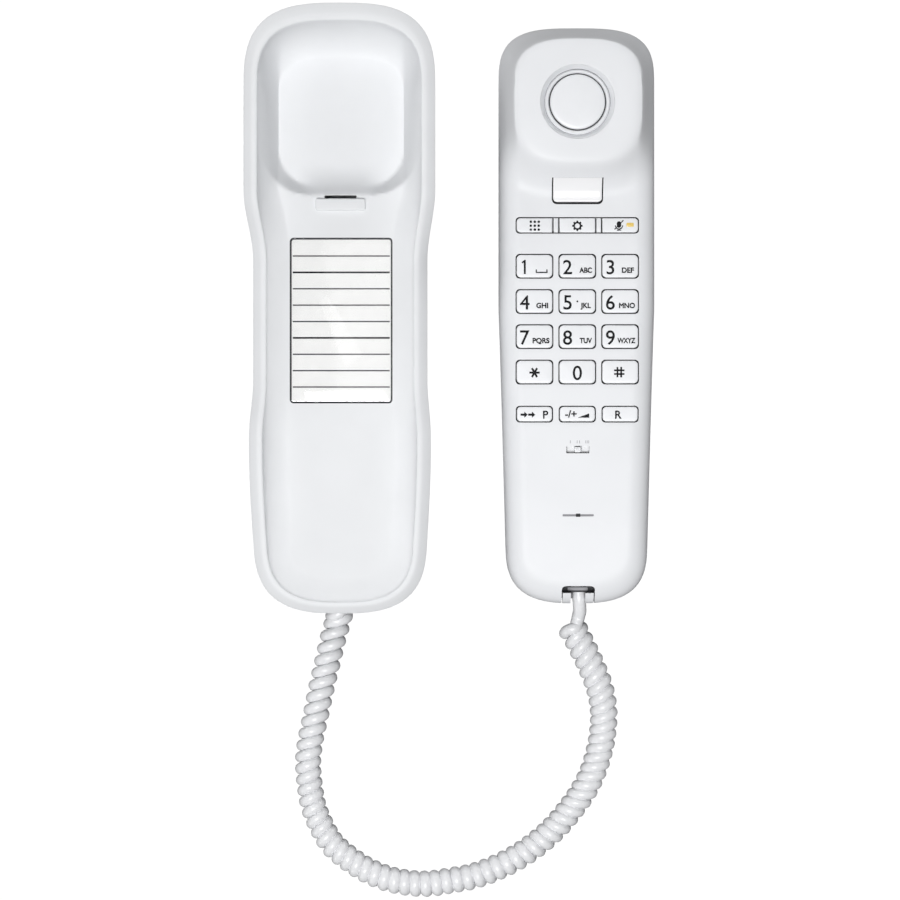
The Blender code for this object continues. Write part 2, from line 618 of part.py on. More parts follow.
def make_screws(handset, front, back):
    """Two screws from the back, through posts of the back shell, into posts of the front one."""
    for number, (y, top) in enumerate(HANDSET_SCREWS, 1):
        upper = handset.tool(cylinder(f"front_post_{number}", 2.9, PARTING_Z + 0.2, top, 16),
                             (0.0, y, 0.0))
        boolean(front, upper, "UNION")
        bore = handset.tool(cylinder(f"front_post_bore_{number}", 1.5, 12.0, 18.2, 16),
                            (0.0, y, 0.0))
        boolean(front, bore)
        lower = handset.tool(cylinder(f"back_post_{number}", 4.2, 1.0, PARTING_Z - 0.2, 16),
                             (0.0, y, 0.0))
        boolean(back, lower, "UNION")
        boolean(back, handset.tool(cylinder(f"head_bore_{number}", 2.9, -1.0, 9.5, 16),
                                   (0.0, y, 0.0)))
        boolean(back, handset.tool(cylinder(f"shank_bore_{number}", 1.6, -1.0, 14.0, 16),
                                   (0.0, y, 0.0)))
        handset.turned_part(f"handset_screw_{number}", (
            (0.0, 17.8), (1.25, 17.8), (1.25, 9.3), (2.6, 9.3), (2.6, 7.6), (0.0, 7.6)),
            "screw_steel", (0.0, y, 0.0), segments=16)


def key_window(width, height):
    """The size of the opening round a key or a block of keys."""
    return (width + 2 * GAP, height + 2 * GAP, KEY_WINDOW_DEPTH)


def make_keys(handset, front):
    """The three blocks of keys, the holes that they stand in, the mat below, and the board."""
    top = FACE_Z + KEY_PROUD - KEY_FLANGE_Z
    for row, names in zip(NUMBER_ROWS, KEY_NAMES):
        for x, name in zip(COLUMNS, names):
            handset.part(key_mesh(f"key_{name}", NUMBER_KEY, KEY_MARGIN, top), "key_plastic",
                         (x, row, KEY_FLANGE_Z))
            window = rounded_box(f"window_{name}", key_window(*NUMBER_KEY), 1.6, 2, KEY_WINDOW_LOW)
            boolean(front, handset.tool(window, (x, row, 0.0)))
    for x, name in zip(COLUMNS, LOWER_NAMES):
        handset.part(key_mesh(f"key_{name}", LOWER_KEY, KEY_MARGIN, top), "key_plastic",
                     (x, LOWER_ROW, KEY_FLANGE_Z))
        window = rounded_box(f"window_{name}", key_window(*LOWER_KEY), 1.4, 2, KEY_WINDOW_LOW)
        boolean(front, handset.tool(window, (x, LOWER_ROW, 0.0)))
    keys = {}
    for x, name in zip(COLUMNS, FUNCTION_NAMES):
        keys[name] = handset.part(key_mesh(f"key_{name}", FUNCTION_KEY, (0.06, 0.55), top),
                                  "key_plastic", (x, FUNCTION_ROW, KEY_FLANGE_Z))
    block = key_window(COLUMNS[2] - COLUMNS[0] + FUNCTION_KEY[0], FUNCTION_KEY[1])
    window = rounded_box("window_functions", block, 1.4, 2, KEY_WINDOW_LOW)
    boolean(front, handset.tool(window, (COLUMNS[1], FUNCTION_ROW, 0.0)))

    lamp = (COLUMNS[2] + 3.35, FUNCTION_ROW + 0.15)
    pocket = rounded_box("lamp_pocket", (3.0, 1.9, 3.0), low=FACE_Z + KEY_PROUD - 1.2)
    boolean(keys["mute"], handset.tool(pocket, (*lamp, 0.0)))
    handset.part(rounded_box("mute_lamp_lens", (2.6, 1.5, 1.05), low=FACE_Z + KEY_PROUD - 1.0),
                 "lamp_amber", (*lamp, 0.0))

    mat = handset.part(rounded_box("keypad_mat", (42.0, 72.0, MAT_THICK), 3.0, 2, MAT_Z),
                       "silicone", (0.0, -3.6, 0.0))
    for number, x in enumerate(((COLUMNS[0] + COLUMNS[1]) / 2, (COLUMNS[1] + COLUMNS[2]) / 2), 1):
        rib = rounded_box(f"mat_rib_{number}", (1.55, FUNCTION_KEY[1], FACE_Z - MAT_Z + 0.1),
                          low=MAT_Z + 0.2)
        boolean(mat, handset.tool(rib, (x, FUNCTION_ROW, 0.0)), "UNION")
    handset.part(rounded_box("handset_board", (42.0, 98.0, BOARD_THICK), 2.0, 2, BOARD_Z),
                 "circuit_board", (0.0, -6.5, 0.0))


def make_earpiece(handset, front):
    """The round earpiece: a dished ring, a cap inside it, and the receiver capsule behind."""
    place = (EAR_X, EAR_Y, 0.0)
    boolean(front, handset.tool(cylinder("earpiece_hole", EAR_HOLE, 24.0, 33.0, 32), place))
    handset.turned_part("earpiece_ring", (
        (12.1, 29.9), (12.1, 27.7), (13.4, 27.7), (13.4, 26.9), (9.9, 26.9), (9.9, 29.4),
        (10.3, 29.4), (10.7, 28.7)), "handset_plastic", place, closed=True, segments=36)
    handset.turned_part("earpiece_cap", ((0.0, 29.7), (6.0, 29.6), (9.3, 29.2), (9.55, 28.9),
                                         (9.55, 26.9), (0.0, 26.9)), "key_plastic", place,
                        segments=36)
    handset.turned_part("receiver_capsule", ((0.0, 26.5), (14.0, 26.5), (14.0, 21.0), (9.0, 21.0),
                                             (9.0, 18.5), (0.0, 18.5)), "capsule_metal", place)


def make_hook_button(handset, front):
    """The button that the cradle's tab presses: a plate on the pad's cove, hinged at its upper
    edge, over its switch."""
    axis_y, axis_z = HOOK_UPPER - 0.6, face_height(0.0, HOOK_UPPER) - 1.2
    steps = 8
    bm = bmesh.new()
    sides = []
    for x in (-HOOK_HALF, HOOK_HALF):
        ys = [HOOK_UPPER + (HOOK_LOWER - HOOK_UPPER) * k / steps for k in range(steps + 1)]
        top = [(x, y - axis_y, face_height(0.0, y) + 0.3 - axis_z) for y in ys]
        under = [(x, y, z - HOOK_THICK) for x, y, z in reversed(top)]
        sides.append([bm.verts.new(p) for p in top + under])
    bridge(bm, *sides)
    for side in sides:
        bm.faces.new(side)
    handset.part(mesh_from("hook_button", bm), "key_plastic", (0.0, axis_y, axis_z))
    length = HOOK_UPPER - HOOK_LOWER
    window = rounded_box("hook_window", (2 * HOOK_HALF + 2 * GAP, length + 2 * GAP, 12.0), low=17.0)
    boolean(front, handset.tool(window, (0.0, HOOK_LOWER + length / 2, 0.0)))
    handset.part(rounded_box("hook_switch", (12.8, 5.8, 2.4), low=BOARD_Z + BOARD_THICK + 0.2),
                 "jack_black", (0.0, 38.5, 0.0))


def make_mode_switch(handset, front):
    """The three-position slide switch below the keys."""
    x, y = MODE_SWITCH
    boolean(front, handset.tool(rounded_box("mode_slot", (7.8, 2.5, 5.0), low=18.0), (x, y, 0.0)))
    slider = handset.part(rounded_box("mode_slider", (13.2, 4.4, 0.8), low=0.0), "key_plastic",
                          (x, y, 18.3))
    knob = handset.tool(rounded_box("mode_knob", (2.2, 1.9, 2.7), low=0.3), (x, y, 18.3))
    boolean(slider, knob, "UNION")
    handset.part(rounded_box("mode_switch_body", (10.0, 4.6, 2.6), low=15.4), "jack_black",
                 (x, y, 0.0))


# ---- Cord ------------------------------------------------------------------------------------

def curve_through(points, per_span):
    """Points on a smooth curve through the given ones (Catmull-Rom)."""
    last = len(points) - 1
    found = []
    for k in range(last):
        p = [points[max(k - 1, 0)], points[k], points[k + 1], points[min(k + 2, last)]]
        for j in range(per_span):
            t = j / per_span
            weights = (-t + 2 * t ** 2 - t ** 3, 2 - 5 * t ** 2 + 3 * t ** 3,
                       t + 4 * t ** 2 - 3 * t ** 3, t ** 3 - t ** 2)
            found.append([sum(w * q[i] for w, q in zip(weights, p)) / 2 for i in range(3)])
    return found + [list(points[last])]


def make_cord(base, handset):
    """The curly cord as one fat tube, its straight tails, and a modular plug at each end."""
    route = curve_through([(x, y, CORD_Z) for x, y in COIL_ROUTE], 1)
    base.tube("cord_coil", route, COIL_RADIUS, "cord_vinyl", 3)
    base.tube("cord_tail_base", curve_through(BASE_TAIL, 1), TAIL_RADIUS, "cord_vinyl", 2)
    base.tube("cord_tail_handset", curve_through(HANDSET_TAIL, 2), TAIL_RADIUS, "cord_vinyl", 2)
    plug = (7.65, 9.8, 6.2)
    base.part(rounded_box("cord_plug_base", plug, low=-plug[2] / 2), "plug_clear",
              (BASE_PLUG_X, -92.5, BASE_PLUG_Z))
    other = handset.part(rounded_box("cord_plug_handset", plug, low=-plug[2] / 2), "plug_clear",
                         (HANDSET_PLUG_X, -88.4, HANDSET_PLUG_Z))
    boot = rounded_box("plug_boot", (4.5, 7.4, 4.4), 1.2, 2, -2.2)
    boolean(other, handset.tool(boot, (HANDSET_PLUG_X, -96.0, HANDSET_PLUG_Z)), "UNION")


def main():
    for obj in list(bpy.data.objects):
        bpy.data.objects.remove(obj, do_unlink=True)
    parts = bpy.data.collections.new("slimline_telephone")
    cutters = bpy.data.collections.new("cutters")
    for collection in (parts, cutters):
        bpy.context.scene.collection.children.link(collection)
    finishes = {
        "base_plastic": WHITE, "back_plastic": WHITE, "handset_plastic": WHITE,
        "key_plastic": KEY_WHITE, "cord_vinyl": CORD_WHITE, "rubber": RUBBER, "card_paper": PAPER,
        "clear_cover": CLEAR, "plug_clear": CLEAR, "screw_steel": STEEL, "ballast_steel": STEEL,
        "capsule_metal": STEEL, "ringer_brass": BRASS, "circuit_board": BOARD_GREEN,
        "jack_black": JACK_BLACK, "silicone": SILICONE, "lamp_amber": AMBER,
    }
    materials = {name: surface_material(name, values) for name, values in finishes.items()}
    base_frame = add_object("base_frame", None, None, parts, None, (BASE_X, 0.0, 0.0))
    pivot = add_object("handset_pivot", None, None, parts, base_frame,
                       (HINGE_X - BASE_X, 0.0, HINGE_Z))
    base = Assembly(base_frame, (0.0, 0.0, 0.0), parts, cutters, materials)
    handset = Assembly(pivot, (HANDSET_X - HINGE_X, 0.0, -HINGE_Z), parts, cutters, materials)
    make_base(base)
    make_handset(handset)
    make_cord(base, handset)


main()
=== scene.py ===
"""Looks of the slimline corded telephone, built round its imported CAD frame.

Shapes are drawn in millimetres about the centre line of their half of the telephone, as in the CAD,
and become metres in the row frame where a mesh is made. Most pieces here are the CAD's own shapes,
made again from the same formulas with many more points, rounded edges and printed legends.
"""
import math

import bmesh
import bpy
from mathutils import Matrix, Vector


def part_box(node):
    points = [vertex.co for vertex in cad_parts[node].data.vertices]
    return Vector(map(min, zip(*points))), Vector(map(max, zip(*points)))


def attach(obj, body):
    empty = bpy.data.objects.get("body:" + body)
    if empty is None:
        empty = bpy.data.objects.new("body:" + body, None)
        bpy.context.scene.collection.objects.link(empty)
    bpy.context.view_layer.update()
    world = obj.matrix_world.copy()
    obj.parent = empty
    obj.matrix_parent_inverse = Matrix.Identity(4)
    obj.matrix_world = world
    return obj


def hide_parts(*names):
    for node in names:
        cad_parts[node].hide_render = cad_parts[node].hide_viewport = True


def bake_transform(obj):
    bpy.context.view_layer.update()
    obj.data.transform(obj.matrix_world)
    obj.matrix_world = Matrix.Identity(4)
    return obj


MM = 0.001
GAP = 0.3
SHARP = 32.0  # edges bent by more degrees than this are shaded as edges

# Base, as in the CAD
BASE_END, BASE_FOOT_WIDTH, BASE_FOOT_Z, BASE_TAPER, FLARE = 103.0, 25.3, 4.0, 0.6, 0.34
RIM_EAR, RIM_WAIST, RIM_HIP, RIM_MOUTH, RIM_DROP = 27.0, 19.0, 22.5, 18.0, 2.5
RIM_WIDTH, RIM_WIDTH_TOP, RIM_WIDTH_BOTTOM = 4.7, 6.2, 4.0
BASE_CAPS, BASE_POWERS = (29.0, 24.0), (3.0, 2.85)
BED_Z, CUP_Z = 14.5, 8.5
WALL_WIDTH, WALL_WIDTH_CUP, WALL_WIDTH_TOP = 8.0, 6.2, 10.3
CUP_HALF, CUP_LOW_END, CUP_CORNER = 26.5, 39.9, 16.0
CUP_FLOOR_HALF, CUP_FLOOR_LOW, CUP_FLOOR_CORNER = 21.4, 42.4, 13.0
BASE_WALL, BED_THICK, SKIRT_Z = 2.0, 2.5, 1.2
BASE_PLUG_X, LINE_JACK_X = -0.9, 12.0
CARD_ROW, CARD_RULE_HALF = 5.57, 16.5

# Handset, as in the CAD
HANDSET_TOP, HANDSET_BOTTOM = 96.0, -99.7
HANDSET_HALF, HANDSET_HALF_MOUTH = 26.5, 23.9
HANDSET_CAPS, HANDSET_POWERS = (20.0, 19.0), (3.3, 2.8)
PARTING_Z, FACE_Z, PAD_Z, MOUTH_FALL = 13.0, 21.5, 30.0, 1.5
PAD_Y, PAD_HALF, PAD_REACH, PAD_SLOPE, PAD_EDGE = 69.0, 21.4, 21.2, 11.0, 1.5
SHOULDER, SHOULDER_PAD, BACK_SHOULDER, HANDSET_WALL = 7.5, 5.2, 14.0, 2.0
COLUMNS = (-14.5, -0.05, 14.4)
NUMBER_KEY, FUNCTION_KEY, LOWER_KEY = (12.05, 7.66), (12.05, 4.85), (11.85, 4.95)
KEY_GAP = 0.36
FACE_CUT = ((0.0, 17.0), (0.0, 25.0))  # the levels of a cutter through the face
HOOK_WINDOW, SLIDER_WINDOW = ((0.0, 39.8), (17.3, 8.7)), (7.8, 2.5)
SCREW_YS, SCREW_HOLE = (50.5, -76.2), 2.9
NOTCH = (0.4, 5.6, -93.5)  # the cord notch: its middle, half its width, and its inner end
NUMBER_NAMES = ("1", "2", "3", "4", "5", "6", "7", "8", "9", "star", "0", "hash")
FUNCTION_NAMES = ("directory", "settings", "mute")
LOWER_NAMES = ("redial", "volume", "flash")

# Curly cord: the CAD's route, and the helix that is wound round it
COIL_Z = 4.7
STRAND = 1.9  # the strand's radius
BOOT = 2.3  # the cord's radius where it leaves the handset
HANDSET_PHASE = 120.0  # the helix's angle where it ends, in degrees, anticlockwise from the left
# At marks along the route: the pitch of the turns, the radius of the helix, and how far each leans
MARKS = (0.0, 45.0, 62.0, 95.0, 130.0, 155.0, 190.0, 212.0)
PITCHES = (4.4, 4.25, 3.75, 3.5, 3.65, 3.6, 3.5, 3.45, 4.1)
HELICES = (2.8, 2.7, 2.65, 2.65, 2.65, 2.7, 2.85, 2.85, 3.3)
LEANS = (0.95, 0.8, 0.3, -0.05, -0.65, -0.6, 1.1, 0.55, 0.65)
COIL_ROUTE = (
    (-38.1, -104.9), (-40.2, -112.4), (-42.2, -121.0), (-44.2, -129.5), (-46.1, -138.7),
    (-47.9, -147.2), (-48.7, -154.8), (-48.1, -162.7), (-46.8, -169.9), (-44.1, -176.5),
    (-40.4, -182.7), (-34.8, -187.6), (-28.6, -191.6), (-21.7, -194.5), (-14.5, -196.0),
    (-7.2, -196.3), (0.3, -195.2), (8.1, -193.7), (15.7, -190.9), (22.9, -187.3), (29.4, -182.9),
    (35.7, -177.4), (41.1, -171.1), (45.7, -164.6), (49.1, -157.6), (51.3, -150.5),
    (52.5, -143.6), (52.7, -136.4), (51.4, -129.2), (48.8, -122.3), (45.4, -115.1), (42.9, -110.2),
)
BASE_TAIL = ((-38.1, -97.7, 7.7), (-38.1, -100.0, 7.4), (-38.1, -102.0, 6.7), (-38.1, -103.5, 6.0))
HANDSET_TAIL = ((43.8, -95.0, 11.0), (44.0, -98.0, 11.0), (44.2, -100.6, 10.3), (44.3, -102.6, 9.2),
                (43.8, -104.5, 7.7), (42.6, -106.3, 6.2), (41.9, -108.2, 5.3))

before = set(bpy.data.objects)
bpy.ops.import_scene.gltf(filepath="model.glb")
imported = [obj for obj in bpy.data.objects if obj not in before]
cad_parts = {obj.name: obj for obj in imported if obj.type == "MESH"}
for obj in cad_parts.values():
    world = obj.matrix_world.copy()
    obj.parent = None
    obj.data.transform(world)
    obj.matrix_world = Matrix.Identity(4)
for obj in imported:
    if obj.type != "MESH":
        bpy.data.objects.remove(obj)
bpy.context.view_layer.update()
if bpy.context.scene.world is None:
    bpy.context.scene.world = bpy.data.worlds.new("studio")


def box_mm(node):
    """A CAD node's lowest and highest corner, in millimetres."""
    low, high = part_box(node)
    return low / MM, high / MM


def centre_mm(node):
    low, high = box_mm(node)
    return (low + high) / 2


def footprint(node, line_x):
    """A CAD node's centre in plan, about the centre line at X = line_x, its size in plan, and its
    lowest and highest Z."""
    low, high = box_mm(node)
    centre = ((low.x + high.x) / 2 - line_x, (low.y + high.y) / 2)
    return centre, (high.x - low.x, high.y - low.y), low.z, high.z


BASE_X = centre_mm("base_housing").x
HANDSET_X = centre_mm("handset_front_shell").x


def on_handset(node):
    """A CAD node's centre in plan, about the handset's centre line."""
    centre = centre_mm(node)
    return centre.x - HANDSET_X, centre.y


def grown(size, gap):
    """A size with a gap added all round."""
    return size[0] + 2 * gap, size[1] + 2 * gap


# ---- Shape functions ----

def clamp(value):
    return min(max(value, 0.0), 1.0)


def smooth(edge0, edge1, value):
    """0 at edge0 and 1 at edge1, with level ends."""
    t = clamp((value - edge0) / (edge1 - edge0))
    return t * t * (3.0 - 2.0 * t)


def mixed(a, b, share):
    return a + (b - a) * share


def rounded_step(t, power):
    """Rises from 0 to 1 like a quarter of a superellipse, steepest at 0."""
    return (1.0 - (1.0 - clamp(t)) ** power) ** (1.0 / power)


def shares(count):
    """0 to 1 in that many even steps."""
    return [k / count for k in range(count + 1)]


def spaced(start, stop, step):
    """Evenly spaced values from start down to stop, without stop."""
    count = max(1, round((start - stop) / step))
    return [start + (stop - start) * k / count for k in range(count)]


def outside_box(x, y, half, low, high, corner):
    """Distance outside a rounded rectangle, negative inside it."""
    dx = abs(x) - half + corner
    dy = max(low + corner - y, y - high + corner)
    return math.hypot(max(dx, 0.0), max(dy, 0.0)) + min(max(dx, dy), 0.0) - corner


def rim_height(y):
    """The crest of the base's rim: high round the ear cup, low at the waist, with a hip below."""
    height = mixed(RIM_EAR, RIM_WAIST, smooth(40.0, 17.0, y))
    height += (RIM_HIP - RIM_WAIST) * smooth(-24.0, -43.0, y)
    return height + (RIM_MOUTH - RIM_HIP) * smooth(-48.0, -103.0, y)


def base_half_width(y):
    foot = BASE_FOOT_WIDTH - BASE_TAPER * smooth(-45.0, -BASE_END, y)
    return foot + FLARE * (rim_height(y) - RIM_DROP - BASE_FOOT_Z)


def bed_height(x, y):
    """The floor inside the base: the bed, and the ear cup. Its lower wall is steep at the corners
    and sweeps up slowly in the middle, to a crisp edge."""
    outside = outside_box(x, y, CUP_HALF, CUP_LOW_END, 2 * BASE_END, CUP_CORNER) - 0.6
    from_floor = outside_box(x, y, CUP_FLOOR_HALF, CUP_FLOOR_LOW, 2 * BASE_END, CUP_FLOOR_CORNER)
    steep = clamp(max(from_floor, 0.0) / max(from_floor - outside, 0.01)) if outside < 0.0 else 1.0
    slow = clamp((outside + 12.0) / 12.0) ** 2.4
    return mixed(CUP_Z, BED_Z, mixed(steep, slow, smooth(17.0, 7.0, abs(x))))


def handset_half_width(y):
    return mixed(HANDSET_HALF, HANDSET_HALF_MOUTH, clamp(-y / 90.0) ** 0.9)


def pad_half_width(y):
    """Half the ear pad's width: a superellipse, held where the handset's cap starts."""
    return PAD_HALF * (1.0 - (abs(min(y, 76.0) - PAD_Y) / PAD_REACH) ** 3) ** (1 / 3)


def face_height(x, y):
    """The handset's face: the keypad plane, the raised ear pad and its cove, and the mouth end."""
    round_pad = (abs(x / PAD_HALF) ** 3 + abs((y - PAD_Y) / PAD_REACH) ** 3) ** (1 / 3)
    outside = (round_pad - 1.0) * PAD_REACH - 0.5 * smooth(68.0, 76.0, y)
    softened = (math.hypot(outside, PAD_EDGE) + outside) / 2
    rise = (PAD_Z - FACE_Z) * (1.0 - clamp(softened / PAD_SLOPE)) ** 2.2
    return FACE_Z + rise - MOUTH_FALL * smooth(-72.0, -100.0, y)


class Plan:
    """A long outline, symmetric about X = 0, with a superelliptic cap at each end."""

    def __init__(self, half_width, ends, caps, powers, stations, cap_steps):
        self.half_width, self.ends, self.caps, self.powers = half_width, ends, caps, powers
        self.stations, self.cap_steps = stations, cap_steps

    def ring(self, side, top, bottom, height, top_power=None):
        """The outline moved in by side(y), top and bottom, as points whose Z is height(x, y)."""
        angles = [math.pi / 2 * k / self.cap_steps for k in range(self.cap_steps)]
        start, end = self.ends[0] - self.caps[0], self.ends[1] + self.caps[1]
        half = []

        def add(y, share):
            half.append(((self.half_width(y) - side(y)) * share, y))

        for a in angles:
            power = 2 / (top_power or self.powers[0])
            add(start + (self.caps[0] - top) * math.cos(a) ** power, math.sin(a) ** power)
        for y in [start, *self.stations, end]:
            add(y, 1.0)
        for a in reversed(angles):
            power = 2 / self.powers[1]
            add(end - (self.caps[1] - bottom) * math.cos(a) ** power, math.sin(a) ** power)
        whole = half + [(-x, y) for x, y in reversed(half[1:-1])]
        return [(x, y, height(x, y)) for x, y in whole]


# ---- Mesh helpers ----

def add_object(name, data):
    obj = bpy.data.objects.new(name, data)
    bpy.context.scene.collection.objects.link(obj)
    return obj


def evaluated_mesh(obj):
    graph = bpy.context.evaluated_depsgraph_get()
    return bpy.data.meshes.new_from_object(obj.evaluated_get(graph))


def piece(name, bm, x, materials, body=None, slot=None, sharp=SHARP):
    """A shaded object from a bmesh drawn in millimetres about a centre line at X = x, and its
    material's name or names. The slot argument has no effect. With no body it is a cutter."""
    bmesh.ops.translate(bm, vec=(x, 0.0, 0.0), verts=bm.verts)
    bmesh.ops.scale(bm, vec=(MM, MM, MM), verts=bm.verts)
    bmesh.ops.recalc_face_normals(bm, faces=bm.faces)
    mesh = bpy.data.meshes.new(name)
    bm.to_mesh(mesh)
    bm.free()
    obj = add_object(name, mesh)
    names = [materials] if isinstance(materials, str) else materials
    for each in names:
        mesh.materials.append(M[each])
    if body:
        finish_shading(mesh, sharp)
        slot = slot or names[0]
        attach(obj, body)
    return obj


def finish_shading(mesh, sharp=SHARP):
    mesh.shade_smooth()
    mesh.set_sharp_from_angle(angle=math.radians(sharp))


def bridge(bm, ring_a, ring_b, closed=True):
    """Quads between two rings of as many vertices."""
    count = len(ring_a)
    for k in range(count if closed else count - 1):
        bm.faces.new((ring_a[k], ring_a[(k + 1) % count], ring_b[(k + 1) % count], ring_b[k]))


def skin(bm, rings):
    """Faces between rings, and across the first and the last."""
    for a, b in zip(rings, rings[1:]):
        bridge(bm, a, b)
    bm.faces.new(rings[0])
    bm.faces.new(rings[-1])


def bowl(bm, rings, columns, height):
    """A skin through rings, the first one open, closed by rows of faces across the last."""
    skins = [[bm.verts.new(p) for p in ring] for ring in rings]
    for outer, inner in zip(skins, skins[1:]):
        bridge(bm, outer, inner)
    last = skins[-1]
    count, middle = len(last), len(last) // 2
    rows = []
    for i in range(1, middle):
        right, left = last[i], last[count - i]
        row = [right]
        for k in range(1, columns):
            x = mixed(right.co.x, left.co.x, k / columns)
            row.append(bm.verts.new((x, right.co.y, height(x, right.co.y))))
        rows.append(row + [left])
    for upper, lower in zip(rows, rows[1:]):
        bridge(bm, upper, lower, closed=False)
    for tip, row in ((last[0], rows[0]), (last[middle], rows[-1])):
        for k in range(columns):
            bm.faces.new((tip, row[k], row[k + 1]))
    return skins[0]


def shell(outer_rings, inner_rings, columns, outer_height, inner_height):
    """A closed shell between two bowls, joined along their open edges."""
    bm = bmesh.new()
    outer = bowl(bm, outer_rings, columns, outer_height)
    inner = bowl(bm, inner_rings, columns, inner_height)
    bridge(bm, outer, inner)
    return bm


def rounded_outline(width, height, radii, steps):
    """Points round a rectangle, from its upper right corner anticlockwise, with four radii."""
    points = []
    for k, radius in enumerate(radii):
        sx, sy = (1, -1, -1, 1)[k], (1, 1, -1, -1)[k]
        for j in range(steps + 1):
            a = math.pi / 2 * (k + j / steps)
            points.append((sx * (width / 2 - radius) + radius * math.cos(a),
                           sy * (height / 2 - radius) + radius * math.sin(a)))
    return points


def stack(bm, centre, size, radii, levels, steps=6):
    """A closed form of rounded rectangles: each level is (how far it is moved in, its height).
    radii is one radius or four."""
    radii = radii if isinstance(radii, (list, tuple)) else [radii] * 4
    rings = []
    for inset, z in levels:
        outline = rounded_outline(size[0] - 2 * inset, size[1] - 2 * inset,
                                  [max(r - inset, 0.02) for r in radii], steps)
        rings.append([bm.verts.new((centre[0] + x, centre[1] + y, z)) for x, y in outline])
    skin(bm, rings)


def rounded_edge(radius, top, steps=4):
    """Levels of a quarter-round edge, from below it to its top."""
    return [(radius * (1.0 - math.cos(a)), top - radius * (1.0 - math.sin(a)))
            for a in [math.pi / 2 * s for s in shares(steps)]]


def block(bm, low, high, radius=0.0):
    """A box between two corners, its upright edges rounded."""
    centre = ((low[0] + high[0]) / 2, (low[1] + high[1]) / 2)
    stack(bm, centre, (high[0] - low[0], high[1] - low[1]), radius or 0.01,
          [(0.0, low[2]), (0.0, high[2])], steps=5 if radius else 1)


def circle(centre, radius, steps):
    """Points round a circle."""
    angles = [math.tau * k / steps for k in range(steps)]
    return [(centre[0] + radius * math.cos(a), centre[1] + radius * math.sin(a)) for a in angles]


def rod(bm, centre, radius, low, high, steps=40):
    """An upright cylinder."""
    points = circle(centre, radius, steps)
    skin(bm, [[bm.verts.new((*p, z)) for p in points] for z in (low, high)])


def turned(bm, profile, centre, steps=96):
    """A profile of (radius, z) turned about an upright axis. A radius of 0 closes it there."""
    rings = []
    for radius, z in profile:
        points = circle(centre, radius, steps) if radius else [centre]
        rings.append([bm.verts.new((*p, z)) for p in points])
    for a, b in zip(rings, rings[1:]):
        if len(a) == 1 or len(b) == 1:
            tip, ring = (a[0], b) if len(a) == 1 else (b[0], a)
            for k in range(steps):
                bm.faces.new((tip, ring[k], ring[(k + 1) % steps]))
        else:
            bridge(bm, a, b)
    return rings


def second_material_below(bm, z):
    """Give a piece's second material to the faces whose middle is below a height."""
    for face in bm.faces:
        if face.calc_center_median().z < z:
            face.material_index = 1


def cut(target, bm, x, material):
    """Cut a bmesh's solids out of an object. The faces that it leaves take the material."""
    apply_boolean(target, piece("cutter", bm, x, material), "DIFFERENCE")


def cut_blocks(target, x, material, *boxes):
    """Cut boxes out of an object. Each is what block() takes: two corners, and perhaps a radius."""
    bm = bmesh.new()
    for box in boxes:
        block(bm, *box)
    cut(target, bm, x, material)


def apply_boolean(target, other, operation):
    modifier = target.modifiers.new("boolean", "BOOLEAN")
    modifier.operation = operation
    modifier.solver = "EXACT"
    modifier.material_mode = "TRANSFER"
    modifier.object = other
    mesh = evaluated_mesh(target)
    target.modifiers.clear()
    target.data = mesh
    bpy.data.objects.remove(other, do_unlink=True)
    finish_shading(mesh)


# ---- Materials ----

M = {}  # the materials by name


def node_material(name):
    """A new material, its nodes and its links."""
    material = M[name] = bpy.data.materials.new(name)
    material.use_nodes = True
    return material.node_tree.nodes, material.node_tree.links


def mix_to_output(nodes, links, amount, first, second):
    mix = nodes.new("ShaderNodeMixShader")
    for k, socket in enumerate((amount, first, second)):
        links.new(socket, mix.inputs[k])
    links.new(mix.outputs["Shader"], nodes["Material Output"].inputs["Surface"])


def surface(name, colour, roughness, mottle=0.015, mottle_size=18.0, grain=0.0, grain_size=0.25,
            rough_vary=0.04, metallic=0.0, **values):
    """A Principled material whose colour and roughness drift a little from place to place, with a
    fine grain. Sizes are in millimetres, and grain is the height of its bumps."""
    nodes, links = node_material(name)
    shader = nodes["Principled BSDF"]
    shader.inputs["Metallic"].default_value = metallic
    for key, value in values.items():
        shader.inputs[key.replace("_", " ").title().replace("Ior", "IOR")].default_value = value
    place = nodes.new("ShaderNodeTexCoord").outputs["Object"]

    def noise(size, detail):
        node = nodes.new("ShaderNodeTexNoise")
        node.inputs["Scale"].default_value = 1.0 / (size * MM)
        node.inputs["Detail"].default_value = detail
        links.new(place, node.inputs["Vector"])
        return node.outputs["Fac"]

    ramp = nodes.new("ShaderNodeValToRGB")
    for element, position, change in zip(ramp.color_ramp.elements, (0.3, 0.7), (-mottle, mottle)):
        element.position = position
        element.color = (*[min(c * (1.0 + change), 1.0) for c in colour], 1.0)
    links.new(noise(mottle_size, 3.0), ramp.inputs["Fac"])
    links.new(ramp.outputs["Color"], shader.inputs["Base Color"])
    scatter = nodes.new("ShaderNodeMapRange")
    scatter.inputs["To Min"].default_value = max(roughness - rough_vary, 0.0)
    scatter.inputs["To Max"].default_value = min(roughness + rough_vary, 1.0)
    links.new(noise(mottle_size / 4, 4.0), scatter.inputs["Value"])
    links.new(scatter.outputs["Result"], shader.inputs["Roughness"])
    if grain:
        bump = nodes.new("ShaderNodeBump")
        bump.inputs["Distance"].default_value = grain * MM
        bump.inputs["Strength"].default_value = 1.0
        links.new(noise(grain_size, 2.0), bump.inputs["Height"])
        links.new(bump.outputs["Normal"], shader.inputs["Normal"])


